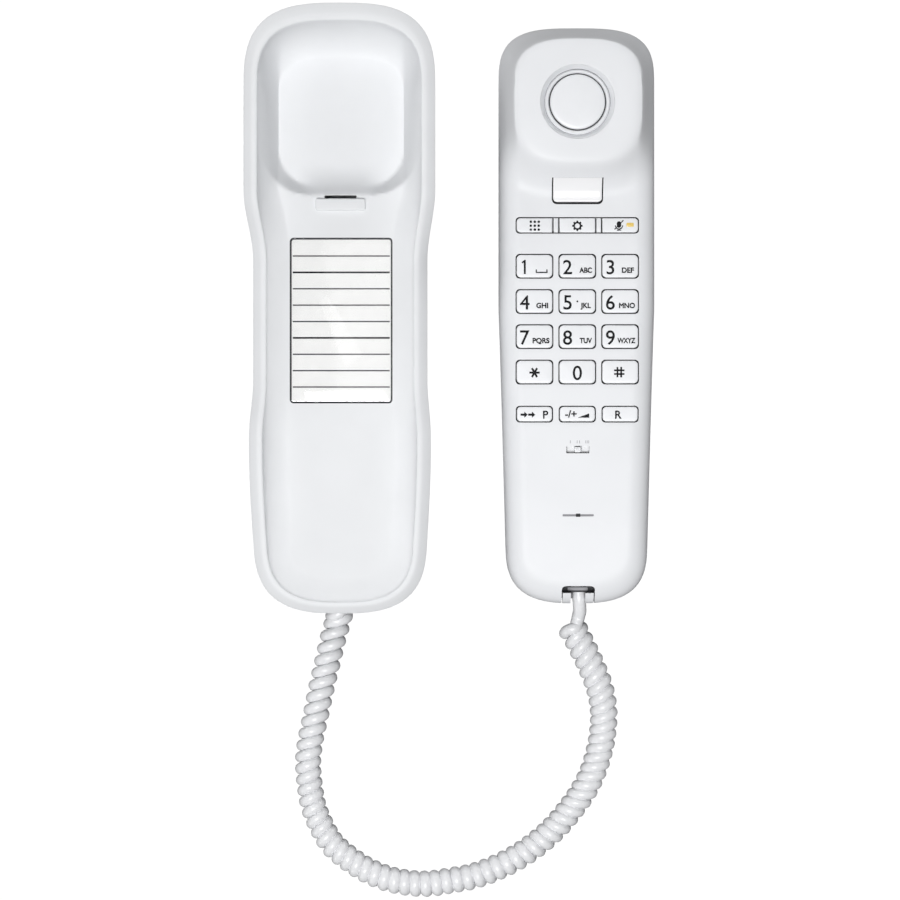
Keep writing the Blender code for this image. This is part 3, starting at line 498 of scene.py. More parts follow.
def clear_sheet(name, roughness):
    """Thin clear plastic: see-through, with gloss that grows at a slant."""
    nodes, links = node_material(name)
    nodes.remove(nodes["Principled BSDF"])
    through, gloss = nodes.new("ShaderNodeBsdfTransparent"), nodes.new("ShaderNodeBsdfGlossy")
    through.inputs["Color"].default_value = (0.995, 0.995, 0.995, 1.0)
    gloss.inputs["Roughness"].default_value = roughness
    slant = nodes.new("ShaderNodeLayerWeight")
    slant.inputs["Blend"].default_value = 0.25
    amount = nodes.new("ShaderNodeMapRange")
    amount.inputs["To Min"].default_value = 0.02
    amount.inputs["To Max"].default_value = 0.35
    links.new(slant.outputs["Facing"], amount.inputs["Value"])
    mix_to_output(nodes, links, amount.outputs["Result"], through.outputs["BSDF"],
                  gloss.outputs["BSDF"])


surface("base_plastic", (0.80, 0.81, 0.825), 0.5, grain=0.0012, specular_ior_level=0.22)
surface("back_plastic", (0.76, 0.77, 0.79), 0.5, grain=0.006, grain_size=0.35)
surface("handset_plastic", (0.81, 0.82, 0.84), 0.43, grain=0.0012, specular_ior_level=0.3)
surface("key_plastic", (0.82, 0.83, 0.85), 0.36, grain=0.0015, mottle_size=7.0)
# The hook button's plastic, a lighter copy of key_plastic: painted light, for the light that the
# button's slope catches.
surface("hook_plastic", (0.93, 0.93, 0.94), 0.22, grain=0.0008)
# Near black. It goes on the walls of windows, slots and holes cut in white plastic, on key skirts
# and on plates inside gaps: painted shade.
surface("seam", (0.045, 0.045, 0.05), 0.7, mottle=0.1, mottle_size=3.0)
surface("cord_vinyl", (0.82, 0.825, 0.84), 0.27, grain=0.0015, mottle_size=9.0)
surface("card_paper", (0.96, 0.96, 0.95), 0.9, grain=0.004, grain_size=0.12,
        mottle=0.02, mottle_size=4.0)
surface("print", (0.008, 0.008, 0.01), 0.6, mottle=0.2, mottle_size=1.5, specular_ior_level=0.15)
surface("print_grey", (0.06, 0.06, 0.065), 0.6, mottle=0.1, mottle_size=1.5,
        specular_ior_level=0.15)
surface("print_faint", (0.42, 0.42, 0.44), 0.5, mottle=0.1, mottle_size=1.5)
surface("lamp_amber", (0.86, 0.62, 0.17), 0.25, mottle=0.08, mottle_size=1.0, coat_weight=0.6)
surface("rubber", (0.045, 0.045, 0.05), 0.8, mottle=0.1, grain=0.01, grain_size=0.4)
surface("screw_steel", (0.56, 0.56, 0.57), 0.3, metallic=1.0, grain=0.002,
        grain_size=0.2, rough_vary=0.08)
surface("ballast_steel", (0.45, 0.45, 0.46), 0.45, metallic=1.0, grain=0.01,
        grain_size=0.8, rough_vary=0.1)
surface("capsule_metal", (0.5, 0.5, 0.51), 0.35, metallic=1.0, grain=0.004)
surface("ringer_brass", (0.72, 0.53, 0.24), 0.28, metallic=1.0, grain=0.003, rough_vary=0.08)
surface("circuit_board", (0.02, 0.16, 0.07), 0.45, mottle=0.25,
        mottle_size=2.5, grain=0.01, grain_size=0.6)
surface("jack_black", (0.03, 0.03, 0.033), 0.42, mottle=0.1, grain=0.004)
# The keypad mat's grey silicone. It also goes on the notch's walls, the microphone slot's walls and
# the earpiece's outer groove as mid-grey painted shade.
surface("silicone", (0.34, 0.34, 0.36), 0.6, mottle=0.04, grain=0.004)
clear_sheet("clear_cover", 0.03)
clear_sheet("plug_clear", 0.08)


# ---- Camera, floor and light ----

def emitter(name, place, aim, size, energy):
    """A soft rectangular light that faces a point, in metres."""
    data = bpy.data.lights.new(name, "AREA")
    data.shape = "RECTANGLE"
    data.size, data.size_y = size
    data.energy = energy
    obj = add_object(name, data)
    obj.location = place
    obj.rotation_euler = (Vector(aim) - Vector(place)).to_track_quat("-Z", "Y").to_euler()
    return obj


def floor_material():
    """Pure white to the camera, but grey to the telephone, so that its flanks stay shaded.
    Returns its name."""
    nodes, links = node_material("floor_white")
    diffuse = nodes["Principled BSDF"]
    diffuse.inputs["Base Color"].default_value = (0.12, 0.12, 0.12, 1.0)
    diffuse.inputs["Roughness"].default_value = 1.0
    white = nodes.new("ShaderNodeEmission")
    white.inputs["Strength"].default_value = 1.05
    seen = nodes.new("ShaderNodeLightPath").outputs["Is Camera Ray"]
    mix_to_output(nodes, links, seen, diffuse.outputs["BSDF"], white.outputs["Emission"])
    return "floor_white"


def make_studio():
    scene = bpy.context.scene
    scene.view_settings.view_transform = "Standard"
    camera = add_object("camera", bpy.data.cameras.new("camera"))
    camera.location = (0.0, -0.0475, 1.0)
    camera.data.lens = 116.0
    camera.data.sensor_width = 36.0
    scene.camera = camera

    scene.world.use_nodes = True
    sky = scene.world.node_tree.nodes["Background"]
    sky.inputs["Color"].default_value = (0.93, 0.96, 1.0, 1.0)
    sky.inputs["Strength"].default_value = 0.08

    bm = bmesh.new()
    bmesh.ops.create_grid(bm, x_segments=1, y_segments=1, size=2500.0)
    bmesh.ops.translate(bm, vec=(0.0, 0.0, -0.05), verts=bm.verts)
    piece("floor", bm, 0.0, floor_material())

    emitter("key", (-0.15, -0.5, 1.8), (0.0, -0.05, 0.0), (0.8, 0.6), 31.0)
    pane = emitter("pane", (-0.03, 0.075, 2.0), (-0.03, 0.075, 0.0), (0.18, 0.36), 0.6)
    pane.rotation_euler = (0.0, 0.0, math.radians(6.4))
    low = (("far_left", (-1.0, 0.95), 3.6), ("far_right", (1.0, 0.95), 3.5),
           ("near_left", (-1.0, -1.05), 1.6), ("near_right", (1.0, -1.05), 0.15),
           ("far", (0.0, 1.35), 2.3))
    for name, (x, y), energy in low:
        emitter(name, (x, y, 0.25), (0.0, -0.05, 0.0), (0.45, 0.2), energy)


# ---- Cord ----

def curve_through(points, per_span):
    """Points on a smooth curve through the given ones (Catmull-Rom)."""
    last = len(points) - 1
    found = []
    for k in range(last):
        p = [points[max(k - 1, 0)], points[k], points[k + 1], points[min(k + 2, last)]]
        for j in range(per_span):
            t = j / per_span
            weights = (-t + 2 * t ** 2 - t ** 3, 2 - 5 * t ** 2 + 3 * t ** 3,
                       t + 4 * t ** 2 - 3 * t ** 3, t ** 3 - t ** 2)
            found.append(sum((w * q for w, q in zip(weights, p)), Vector((0, 0, 0))) / 2)
    return found + [points[last]]


def helix_path(step=0.09):
    """The cord's own centreline: it leaves the base straight, winds round the route, and runs
    straight into the handset. Returns the points and each one's strand radius, in millimetres."""
    corners = [Vector(p) for p in BASE_TAIL]
    corners += [Vector((x, y, COIL_Z)) for x, y in COIL_ROUTE]
    corners += [Vector(p) for p in reversed(HANDSET_TAIL)]
    line = curve_through(corners, 60)
    along, total = [0.0], 0.0
    for a, b in zip(line, line[1:]):
        total += (b - a).length
        along.append(total)
    spots, k = [], 0
    for n in range(int(total / step) + 1):
        s = n * step
        while k < len(along) - 2 and along[k + 1] < s:
            k += 1
        t = (s - along[k]) / max(along[k + 1] - along[k], 1e-9)
        spots.append((s, line[k].lerp(line[k + 1], clamp(t)), (line[k + 1] - line[k]).normalized()))

    def wound(s):
        """How much of the helix's radius there is: none at either end."""
        return smooth(2.5, 5.5, s) * smooth(total - 9.5, total - 14.5, s)

    def turning_at(s):
        """How much the helix turns on: not at all at either end."""
        return smooth(1.5, 3.5, s) * smooth(total - 12.9, total - 16.4, s)

    def along_coil(s, values):
        """A value on the way, from its values at the marks."""
        marks = (*MARKS, total)
        k = max(j for j in range(len(MARKS)) if s >= marks[j])
        return mixed(values[k], values[k + 1], (s - marks[k]) / (marks[k + 1] - marks[k]))

    turning, angle = [], 0.0
    for s, _, _ in spots:
        turning.append(angle)
        angle += math.tau * step / along_coil(s, PITCHES) * turning_at(s)
    start = math.radians(HANDSET_PHASE) - angle
    points, radii = [], []
    for (s, middle, ahead), turned_by in zip(spots, turning):
        across = Vector((0, 0, 1)).cross(ahead).normalized()
        up = ahead.cross(across)
        a, helix = start + turned_by, along_coil(s, HELICES) * wound(s)
        lean = along_coil(s, LEANS) * wound(s)
        lift = Vector((0, 0, max(helix + STRAND - COIL_Z, 0.0) * wound(s)))
        points.append(middle + lift + (across * math.cos(a) + up * math.sin(a)) * helix
                      - ahead * math.cos(a) * lean)
        radii.append(mixed(STRAND, BOOT, smooth(total - 17.0, total - 9.0, s)))
    return points, radii


def tube(bm, points, radii, sides=16):
    """A round tube along points, closed at both ends, whose section doesn't twist."""
    normal = Vector((0, 0, 1))
    section, rings = circle((0.0, 0.0), 1.0, sides), []
    for k, (point, radius) in enumerate(zip(points, radii)):
        ahead = (points[min(k + 1, len(points) - 1)] - points[max(k - 1, 0)]).normalized()
        normal = (normal - ahead * normal.dot(ahead)).normalized()
        other = ahead.cross(normal)
        rings.append([bm.verts.new(point + (normal * x + other * y) * radius) for x, y in section])
    skin(bm, rings)


def make_cord():
    points, radii = helix_path()
    path, sizes = points[:1], radii[:1]
    for point, radius in zip(points[1:], radii[1:]):
        if (point - path[-1]).length > 0.5 or point is points[-1]:
            path.append(point)
            sizes.append(radius)
    bm = bmesh.new()
    tube(bm, path, sizes)
    cord = piece("curly_cord", bm, 0.0, "cord_vinyl")
    finish_shading(cord.data, 60.0)
    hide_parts("cord_coil", "cord_tail_base", "cord_tail_handset")
    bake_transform(cord)
    length = sum((b - a).length for a, b in zip(path, path[1:])) * MM
    [p * MM for p in path]


# ---- Base ----

BASE_PLAN = Plan(base_half_width, (BASE_END, -BASE_END), BASE_CAPS, BASE_POWERS,
                 spaced(72.0, 60.0, 2.0) + spaced(60.0, 34.0, 0.8) + spaced(34.0, -78.0, 2.4), 22)


def flank_ring(z, inset):
    """The base's flared outer wall at height z, moved in by inset."""
    return BASE_PLAN.ring(lambda y: (rim_height(y) - RIM_DROP - z) * FLARE + inset,
                          (RIM_EAR - RIM_DROP - z) * FLARE + inset,
                          (RIM_MOUTH - RIM_DROP - z) * FLARE + inset, lambda x, y: z)


def flank_share_ring(share, inset, below):
    """The outer wall at a share of the way from its foot to the rim's outer edge."""
    def height(x, y):
        return mixed(BASE_FOOT_Z, rim_height(y) - below, share)

    def side(y):
        return (rim_height(y) - RIM_DROP - height(0.0, y)) * FLARE + inset

    return BASE_PLAN.ring(side, side(BASE_END), side(-BASE_END), height)


def rim_ring(share, drop):
    """A ring on the rim: share runs from its outer to its inner edge, drop is below the crest."""
    return BASE_PLAN.ring(lambda y: RIM_WIDTH * share, RIM_WIDTH_TOP * share,
                          RIM_WIDTH_BOTTOM * share, lambda x, y: rim_height(y) - drop)


def wall_ring(t, wall):
    """A ring on the concave inner wall, from the rim at t = 0 to the floor at t = 1. Round the ear
    cup it meets the floor at an edge. wall moves it into the material."""
    back, down = wall * math.cos(math.pi / 2 * t), wall * math.sin(math.pi / 2 * t)

    def side(y):
        width = mixed(WALL_WIDTH, WALL_WIDTH_CUP, smooth(34.0, 44.0, y))
        return RIM_WIDTH + width * t - back

    def height(x, y):
        crest, floor = rim_height(y) - 0.6, bed_height(x, y)
        edge = 0.14 * smooth(36.0, 46.0, y) - 0.05 * smooth(80.0, 90.0, y)
        waist = smooth(42.0, 26.0, y) * smooth(-42.0, -22.0, y)
        cup = mixed(1.5, 1.9, smooth(74.0, 86.0, y))
        power = mixed(mixed(1.8, 1.4, waist), cup, smooth(36.0, 46.0, y))
        fall = mixed(1.0 - rounded_step(t, power), 1.0 - t, edge)
        return floor + (crest - floor) * fall - down

    return BASE_PLAN.ring(side, RIM_WIDTH_TOP + WALL_WIDTH_TOP * t - back,
                          RIM_WIDTH_BOTTOM + WALL_WIDTH * t - back, height)


def make_base():
    outer = [flank_ring(mixed(SKIRT_Z, BASE_FOOT_Z, t), 1.4 * (1.0 - math.sin(math.pi / 2 * t)))
             for t in shares(5)]
    outer += [flank_share_ring(t, 0.0, RIM_DROP) for t in shares(8)[1:]]
    outer += [rim_ring(*at) for at in ((0.02, 2.36), (0.06, 2.15), (0.2, 1.58), (0.35, 1.0),
                                       (0.5, 0.45), (0.6, 0.16), (0.68, 0.03), (0.78, 0.0),
                                       (0.88, 0.02), (0.94, 0.12), (0.98, 0.3), (1.0, 0.6))]
    outer += [wall_ring(t, 0.0) for t in (0.02, 0.05, *[0.1 + 0.9 * s for s in shares(18)])]
    inner = [flank_ring(SKIRT_Z, 1.4 + BASE_WALL), flank_ring(BASE_FOOT_Z, BASE_WALL),
             flank_share_ring(1.0, BASE_WALL - 0.7, 4.6)]
    inner += [wall_ring(t, BED_THICK) for t in (0.35, 1.0)]
    bm = shell(outer, inner, 56, bed_height, lambda x, y: bed_height(x, y) - BED_THICK)
    # The shell's second material is the near-black painted shade that some cuts below leave on
    # their walls.
    housing = piece("base_shell", bm, BASE_X, ("base_plastic", "seam"), "base")
    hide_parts("base_housing")

    centre, size, _, _ = footprint("index_card_cover", BASE_X)
    bm = bmesh.new()
    stack(bm, centre, grown(size, GAP), 1.3, [(0.0, BED_Z - 1.3), (0.0, BED_Z + 3.0)])
    # The card pocket's walls take the near-black material: painted shade round the card.
    cut(housing, bm, BASE_X, "seam")
    # The tab slot's walls take the near-black material: painted shade in the slot.
    slot = ((-5.45, 34.2, BED_Z - 5.0), (5.45, 39.0, BED_Z + 3.0), 0.3)
    cut_blocks(housing, BASE_X, "seam", slot)
    cut_blocks(housing, BASE_X, "base_plastic",
               ((BASE_PLUG_X - 4.9, -107.0, 3.9), (BASE_PLUG_X + 4.9, -91.0, 11.7)),
               ((LINE_JACK_X - 5.5, -107.0, 4.1), (LINE_JACK_X + 5.5, -87.0, 11.5)))
    make_card()
    make_hanger_tab()


def make_card():
    """The ruled index card, its bolder rules and its clear cover."""
    centre, cover_size, cover_bottom, cover_top = footprint("index_card_cover", BASE_X)
    _, size, bottom, top = footprint("index_card", BASE_X)
    bm = bmesh.new()
    stack(bm, centre, size, 0.8, [(0.0, bottom), (0.0, top)])
    card = piece("index_card_sheet", bm, BASE_X, "card_paper", "base")
    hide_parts("index_card")
    for name, rows, width, material in (("card_rules", (0, 2, 3, 4, 6, 7, 8), 0.45, "print_grey"),
                                        ("card_rules_bold", (1, 5), 0.6, "print")):
        bm = bmesh.new()
        for row in rows:
            y = centre[1] - 0.3 + CARD_ROW * (4 - row)
            block(bm, (centre[0] - CARD_RULE_HALF, y - width / 2, top - 0.01),
                  (centre[0] + CARD_RULE_HALF, y + width / 2, top + 0.02))
        piece(name, bm, BASE_X, material, "base", "card_paper")
    bm = bmesh.new()
    stack(bm, centre, cover_size, 1.0, [(0.0, cover_bottom), *rounded_edge(0.2, cover_top)])
    cover = piece("index_card_window", bm, BASE_X, "clear_cover", "base")
    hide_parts("index_card_cover")


def make_hanger_tab():
    """The tab that holds the handset up when the telephone hangs on a wall."""
    centre, size, bottom, top = footprint("hanger_tab", BASE_X)
    bm = bmesh.new()
    stack(bm, (0.0, centre[1] + 0.15), (size[0], size[1] + 0.3), 0.9,
          [(0.2, BED_Z + 0.3), (0.0, BED_Z + 0.5), *rounded_edge(0.55, top)])
    block(bm, (-4.8, 34.7, bottom), (4.8, 37.1, BED_Z + 0.35), 0.3)
    tab = piece("hanger_tab_plate", bm, BASE_X, "base_plastic", "hanger_tab")
    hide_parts("hanger_tab")


# ---- Handset ----

HANDSET_PLAN = Plan(handset_half_width, (HANDSET_TOP, HANDSET_BOTTOM), HANDSET_CAPS,
                    HANDSET_POWERS, spaced(74.0, 60.0, 2.0) + spaced(60.0, 32.0, 0.9)
                    + spaced(32.0, -78.0, 2.5), 22)


def front_ring(share, wall):
    """A ring on the front shell: share runs from the parting line to the shoulder's inner edge."""
    def width(y):
        pad = handset_half_width(y) - pad_half_width(max(y, 57.0))
        return mixed(SHOULDER, pad, smooth(40.0, 57.0, y))

    def height(x, y):
        rise = rounded_step(share, mixed(2.2, 1.25, smooth(48.0, 62.0, y)))
        return mixed(PARTING_Z, face_height(x, y) - wall, rise)

    inward = wall * (1.0 - share)
    return HANDSET_PLAN.ring(lambda y: width(y) * share + inward,
                             (SHOULDER_PAD + 0.6) * share + inward,
                             (SHOULDER + 1.5) * share + inward, height,
                             mixed(HANDSET_POWERS[0], 2.75, share))


def back_ring(share, wall):
    """A ring on the back shell: share runs from the parting line to the flat of the back."""
    def height(x, y):
        return PARTING_Z - (PARTING_Z - wall) * rounded_step(share, 2.1)

    reach = BACK_SHOULDER * share + wall * (1.0 - 0.6 * share)
    return HANDSET_PLAN.ring(lambda y: reach, reach, reach, height)


def lifted(ring, z):
    """A copy of a ring laid at one height."""
    return [(x, y, z) for x, y, _ in ring]


def front_solid(wall=HANDSET_WALL):
    seam = PARTING_Z + GAP / 2
    outer = [lifted(front_ring(0.0, 0.0), seam)]
    outer += [front_ring(t, 0.0) for t in (0.03, 0.08, *[0.14 + 0.86 * s for s in shares(14)])]
    inner = [lifted(front_ring(0.0, wall), seam)]
    inner += [front_ring(share, wall) for share in (0.1, 0.35, 0.65, 1.0)]
    return shell(outer, inner, 60, face_height, lambda x, y: face_height(x, y) - wall)


def make_handset():
    # The shells' second material is the near-black painted shade that the cuts leave on window
    # walls.
    front = piece("handset_front", front_solid(), HANDSET_X, ("handset_plastic", "seam"), "handset")
    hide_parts("handset_front_shell")
    seam = PARTING_Z - GAP / 2
    outer = [lifted(back_ring(0.0, 0.0), seam)]
    outer += [back_ring(t, 0.0) for t in (0.02, 0.06, 0.12, *[0.2 + 0.8 * s for s in shares(12)])]
    inner = [lifted(back_ring(0.0, HANDSET_WALL), seam)]
    inner += [back_ring(t, HANDSET_WALL) for t in (0.2, 0.5, 1.0)]
    bm = shell(outer, inner, 20, lambda x, y: 0.0, lambda x, y: HANDSET_WALL)
    back = piece("handset_back", bm, HANDSET_X, ("handset_plastic", "seam"), "handset")
    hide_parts("handset_back_shell")

    middle, half, inner_end = NOTCH
    # The notch's walls take the mid-grey silicone: painted shade in the notch.
    for part in (front, back):
        cut_blocks(part, HANDSET_X, "silicone", ((middle - half, HANDSET_BOTTOM - 6.0, 7.0),
                                                 (middle + half, inner_end, 30.0), 1.4))
    # notch_shade is a near-black plate inside the notch: painted shade there, which also stands for
    # the jack's black body.
    shade = ((middle - 5.4, -95.85, 13.4), (middle + 5.4, -90.0, 13.8))
    latch = ((middle - 3.4, -95.2, 13.8), (middle + 3.4, -94.2, 14.2), 0.2)
    for name, box, material in (("notch_shade", shade, "seam"), ("notch_latch", latch, "silicone")):
        bm = bmesh.new()
        block(bm, *box)
        piece(name, bm, HANDSET_X, material, "handset", "jack_black")
    cheeks = piece("handset_cheeks", front_solid(), HANDSET_X, "handset_plastic", "handset")
    bm = bmesh.new()
    for side in (-1, 1):
        ends = sorted((middle + side * 2.45, middle + side * (half - 0.35)))
        block(bm, (ends[0], HANDSET_BOTTOM - 4.0, 10.0), (ends[1], -95.9, 30.0))
    apply_boolean(cheeks, piece("cutter", bm, HANDSET_X, "handset_plastic"), "INTERSECT")

    cut_face(front)
    bm = bmesh.new()
    for y in SCREW_YS:
        rod(bm, (0.0, y), SCREW_HOLE, -1.0, 9.5)
    cut(back, bm, HANDSET_X, "handset_plastic")
    make_earpiece()
    make_hook_button()
    make_mode_switch()


def cut_face(front):
    """The openings in the handset's face: keys, hook button, earpiece, mode switch, microphone."""
    bm = bmesh.new()
    for size, names, radius in ((NUMBER_KEY, NUMBER_NAMES, 1.4), (LOWER_KEY, LOWER_NAMES, 1.3)):
        for name in names:
            stack(bm, on_handset(f"key_{name}"), grown(size, KEY_GAP), radius, FACE_CUT)
    row = (COLUMNS[2] - COLUMNS[0] + FUNCTION_KEY[0], FUNCTION_KEY[1])
    stack(bm, (COLUMNS[1], on_handset("key_settings")[1]), grown(row, KEY_GAP), 1.3, FACE_CUT)
    stack(bm, *HOOK_WINDOW, (0.1, 0.1, 1.7, 1.7), [(0.0, 16.0), (0.0, 32.0)])
    stack(bm, on_handset("mode_slider"), SLIDER_WINDOW, 0.25, FACE_CUT)
    # The walls of these windows take the near-black material: painted shade in the gaps round the
    # keys, the hook button and the slider.
    cut(front, bm, HANDSET_X, "seam")
    # The microphone slot's walls are painted mid grey and the hole's walls near black: painted
    # shade in the slot and the hole.
    slot = ((10.5, 0.75), 0.2, [(0.0, FACE_Z - 0.6), (0.0, 25.0)])
    hole = ((1.5, 1.1), 0.1, [(0.0, FACE_Z - 1.4), (0.0, 24.0)])
    for shape, material in ((slot, "silicone"), (hole, "seam")):
        bm = bmesh.new()
        stack(bm, on_handset("microphone"), *shape)
        cut(front, bm, HANDSET_X, material)
    bm = bmesh.new()
    turned(bm, ((0.0, 24.0), (12.4, 24.0), (12.4, 29.7), (12.5, 29.9), (12.7, 30.0), (13.0, 31.0),
                (0.0, 31.0)), on_handset("earpiece_ring"))
    cut(front, bm, HANDSET_X, "handset_plastic")


def make_earpiece():
    centre = on_handset("earpiece_ring")
    bm = bmesh.new()
    rings = turned(bm, ((12.37, 29.9), (12.2, 29.75), (11.9, 29.25), (11.6, 28.75), (11.35, 28.35),
                        (11.15, 28.1), (10.95, 28.1), (10.85, 28.9), (10.6, 29.3), (10.3, 29.42),
                        (9.95, 29.3), (9.7, 28.95), (9.62, 28.4), (9.62, 26.9), (13.4, 26.9),
                        (13.4, 27.6), (12.37, 27.6)), centre)
    bridge(bm, rings[-1], rings[0])
    trim = piece("earpiece_bezel", bm, HANDSET_X, "handset_plastic", "handset", sharp=45.0)
    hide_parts("earpiece_ring")
    bm = bmesh.new()
    turned(bm, ((0.0, 29.62), (3.0, 29.61), (6.0, 29.57), (8.0, 29.5), (8.8, 29.42), (9.05, 29.3),
                (9.17, 29.1), (9.2, 28.7), (9.2, 26.9), (0.0, 26.9)), centre)
    disc = piece("earpiece_disc", bm, HANDSET_X, "key_plastic", "handset", sharp=45.0)
    # Two thin rings in the earpiece's grooves, near black and mid grey: painted shade in the
    # grooves.
    for name, inner, outer, level, material in (("earpiece_groove_painted_shade", 9.15, 9.68, 28.2, "seam"),
                                                ("earpiece_outer_groove_painted_shade", 10.8, 11.12, 28.3,
                                                 "silicone")):
        bm = bmesh.new()
        rings = turned(bm, ((inner, level), (outer, level), (outer, level - 0.3),
                            (inner, level - 0.3)), centre)
        bridge(bm, rings[-1], rings[0])
        piece(name, bm, HANDSET_X, material, "handset", "silicone")
    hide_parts("earpiece_cap")


def make_hook_button():
    """A plate that follows the cove below the ear pad, rounded along its lower edge."""
    half, bottom, thick, rows, columns = 8.22, 36.2, 1.8, 30, 32
    bm = bmesh.new()
    grids = []
    for under in (False, True):
        grid = []
        for i in range(rows + 1):
            y = mixed(44.1, bottom, i / rows)
            corner = clamp((bottom + 1.4 - y) / 1.4)
            reach = half - 1.4 * (1.0 - math.sqrt(max(1.0 - corner ** 2, 0.0)))
            row = []
            for j in range(columns + 1):
                x = mixed(-reach, reach, j / columns)
                edge = min(half - abs(x) + 0.02, y - bottom + 0.02)
                z = face_height(0.0, y) + 0.32 - 0.3 * (1.0 - rounded_step(edge / 0.5, 2.0))
                row.append(bm.verts.new((x, y, z - (thick if under else 0.0))))
            grid.append(row)
        for upper, lower in zip(grid, grid[1:]):
            bridge(bm, upper, lower, closed=False)
        grids.append(grid)
    rims = []
    for grid in grids:
        rims.append(grid[0] + [row[-1] for row in grid[1:-1]] + grid[-1][::-1]
                    + [row[0] for row in grid[-2:0:-1]])
    bridge(bm, *rims)
    # The button is lighter than the keys it matches: painted light.
    button = piece("hook_button_plate", bm, HANDSET_X, "hook_plastic", "hook_button",
                   "key_plastic")
    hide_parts("hook_button")
    # A near-black plate under the hook button: painted shade in the gap round the button.
    bm = bmesh.new()
    block(bm, (-10.0, 34.0, 17.2), (10.0, 46.0, 17.6), 1.0)
    piece("hook_well_painted_shade", bm, HANDSET_X, "seam", "handset", "silicone")


def make_mode_switch():
    centre, size, bottom, top = footprint("mode_slider", HANDSET_X)
    bm = bmesh.new()
    stack(bm, centre, size, 0.4, [(0.0, bottom), (0.0, bottom + 0.8)])
    stack(bm, centre, (2.2, 1.9), 0.3, [(0.0, bottom + 0.5), *rounded_edge(0.2, top)])
    for x in (-0.55, 0.0, 0.55):
        block(bm, (centre[0] + x - 0.12, centre[1] - 0.7, top - 0.1),
              (centre[0] + x + 0.12, centre[1] + 0.7, top + 0.12), 0.05)
    slider = piece("mode_slider_knob", bm, HANDSET_X, "key_plastic", "mode_slider")
    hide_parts("mode_slider")
    bm = bmesh.new()
    for x, marks in ((-2.5, (0.0,)), (0.2, (-0.4, 0.4)), (3.2, (-0.5, 0.0, 0.5))):
        for shift in marks:
            block(bm, (centre[0] + x + shift - 0.13, centre[1] + 2.1, FACE_Z - 0.02),
                  (centre[0] + x + shift + 0.13, centre[1] + 3.1, FACE_Z + 0.02))
    piece("mode_marks", bm, HANDSET_X, "print_faint", "handset", "handset_plastic")


# ---- Keys and their legends ----

def key_piece(name, size, radii, crown):
    """A key cap with a rounded edge and a slightly crowned top, above its skirt, which is painted
    near black: painted shade in the gap round the key.
    """
    centre, flange, bottom, top = footprint(f"key_{name}", HANDSET_X)
    bm = bmesh.new()
    stack(bm, centre, flange, 1.3, [(0.0, bottom), (0.0, bottom + 0.6)])
    levels = [(0.0, bottom + 0.4), (0.0, top - 1.3)]
    levels += rounded_edge(0.32, top - crown)
    levels += [(0.32 + size[1] * 0.5 * t * 0.85, top - crown * (1.0 - t) ** 2)
               for t in (0.2, 0.5, 1.0)]
    stack(bm, centre, size, radii, levels)
    # The skirt below the cap's top takes the near-black painted shade.
    second_material_below(bm, top - 0.9)
    key = piece(f"keycap_{name}", bm, HANDSET_X, ("key_plastic", "seam"), f"key_{name}")
    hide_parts(f"key_{name}")
    return centre, top


def letters(bm, text, centre, height, z, width=None, weight=0.004):
    """Text, filled and thin, fitted to a height and a width in millimetres round a centre. The
    weight thickens its strokes, as a share of the font's size."""
    curve = bpy.data.curves.new("text", "FONT")
    curve.body = text
    curve.extrude = 0.01
    curve.bevel_depth = weight
    curve.bevel_resolution = 0
    holder = add_object("text", curve)
    mesh = evaluated_mesh(holder)
    xs, ys = [v.co.x for v in mesh.vertices], [v.co.y for v in mesh.vertices]
    foot = 0.0 if text.isalnum() else min(ys)
    scale_y = height / (max(ys) - foot)
    scale_x = width / (max(xs) - min(xs)) if width else scale_y
    middle = Vector(((max(xs) + min(xs)) / 2, (max(ys) + foot) / 2, 0.0))
    mesh.transform(Matrix.Translation((centre[0], centre[1], z))
                   @ Matrix.Diagonal((scale_x, scale_y, 2.5, 1.0)) @ Matrix.Translation(-middle))
    bm.from_mesh(mesh)
    bpy.data.objects.remove(holder, do_unlink=True)
    bpy.data.meshes.remove(mesh)


def plate(bm, centre, outline, z, thick=0.05):
    """A thin flat shape from its outline about a centre, anticlockwise, centred on height z."""
    skin(bm, [[bm.verts.new((centre[0] + x, centre[1] + y, z + dz)) for x, y in outline]
              for dz in (-thick / 2, thick / 2)])


def dot(bm, centre, radius, z, steps=20, thick=0.05):
    plate(bm, centre, circle((0.0, 0.0), radius, steps), z, thick)


def stroke(bm, centre, start, end, width, z):
    """A straight bar between two points about a centre."""
    a, b = [Vector((centre[0] + x, centre[1] + y)) for x, y in (start, end)]
    side = (b - a).normalized().orthogonal() * width / 2
    plate(bm, (0.0, 0.0), [tuple(p) for p in (a - side, b - side, b + side, a + side)], z)


def arc(bm, centre, radii, start, end, z, steps=14):
    """A ring or part of one, between two radii and two angles in degrees."""
    whole = abs(end - start) >= 360.0
    angles = [math.radians(mixed(start, end, k / steps)) for k in range(steps + (not whole))]
    rims = []
    for radius in radii:
        for dz in (-0.025, 0.025):
            rims.append([bm.verts.new((centre[0] + radius * math.cos(a),
                                       centre[1] + radius * math.sin(a), z + dz)) for a in angles])
    order = (rims[0], rims[1], rims[3], rims[2])
    for k in range(4):
        bridge(bm, order[k], order[(k + 1) % 4], closed=whole)
    if not whole:
        for k in (0, -1):
            bm.faces.new([rim[k] for rim in order])


LETTERS = {"2": ("ABC", 2.8, 4.3), "3": ("DEF", 2.6, 4.1), "4": ("GHI", 2.6, 4.0),
           "5": ("JKL", 2.8, 3.5), "6": ("MNO", 2.3, 5.4), "7": ("PQRS", 2.2, 5.7),
           "8": ("TUV", 2.85, 4.2), "9": ("WXYZ", 2.1, 6.1)}
DIGIT_HEIGHT, LETTER_HEIGHT = 4.75, 1.75
ARROW = ((-1.15, -0.37), (0.1, -0.37), (0.1, -1.05), (1.25, 0.0), (0.1, 1.05), (0.1, 0.37),
         (-1.15, 0.37))


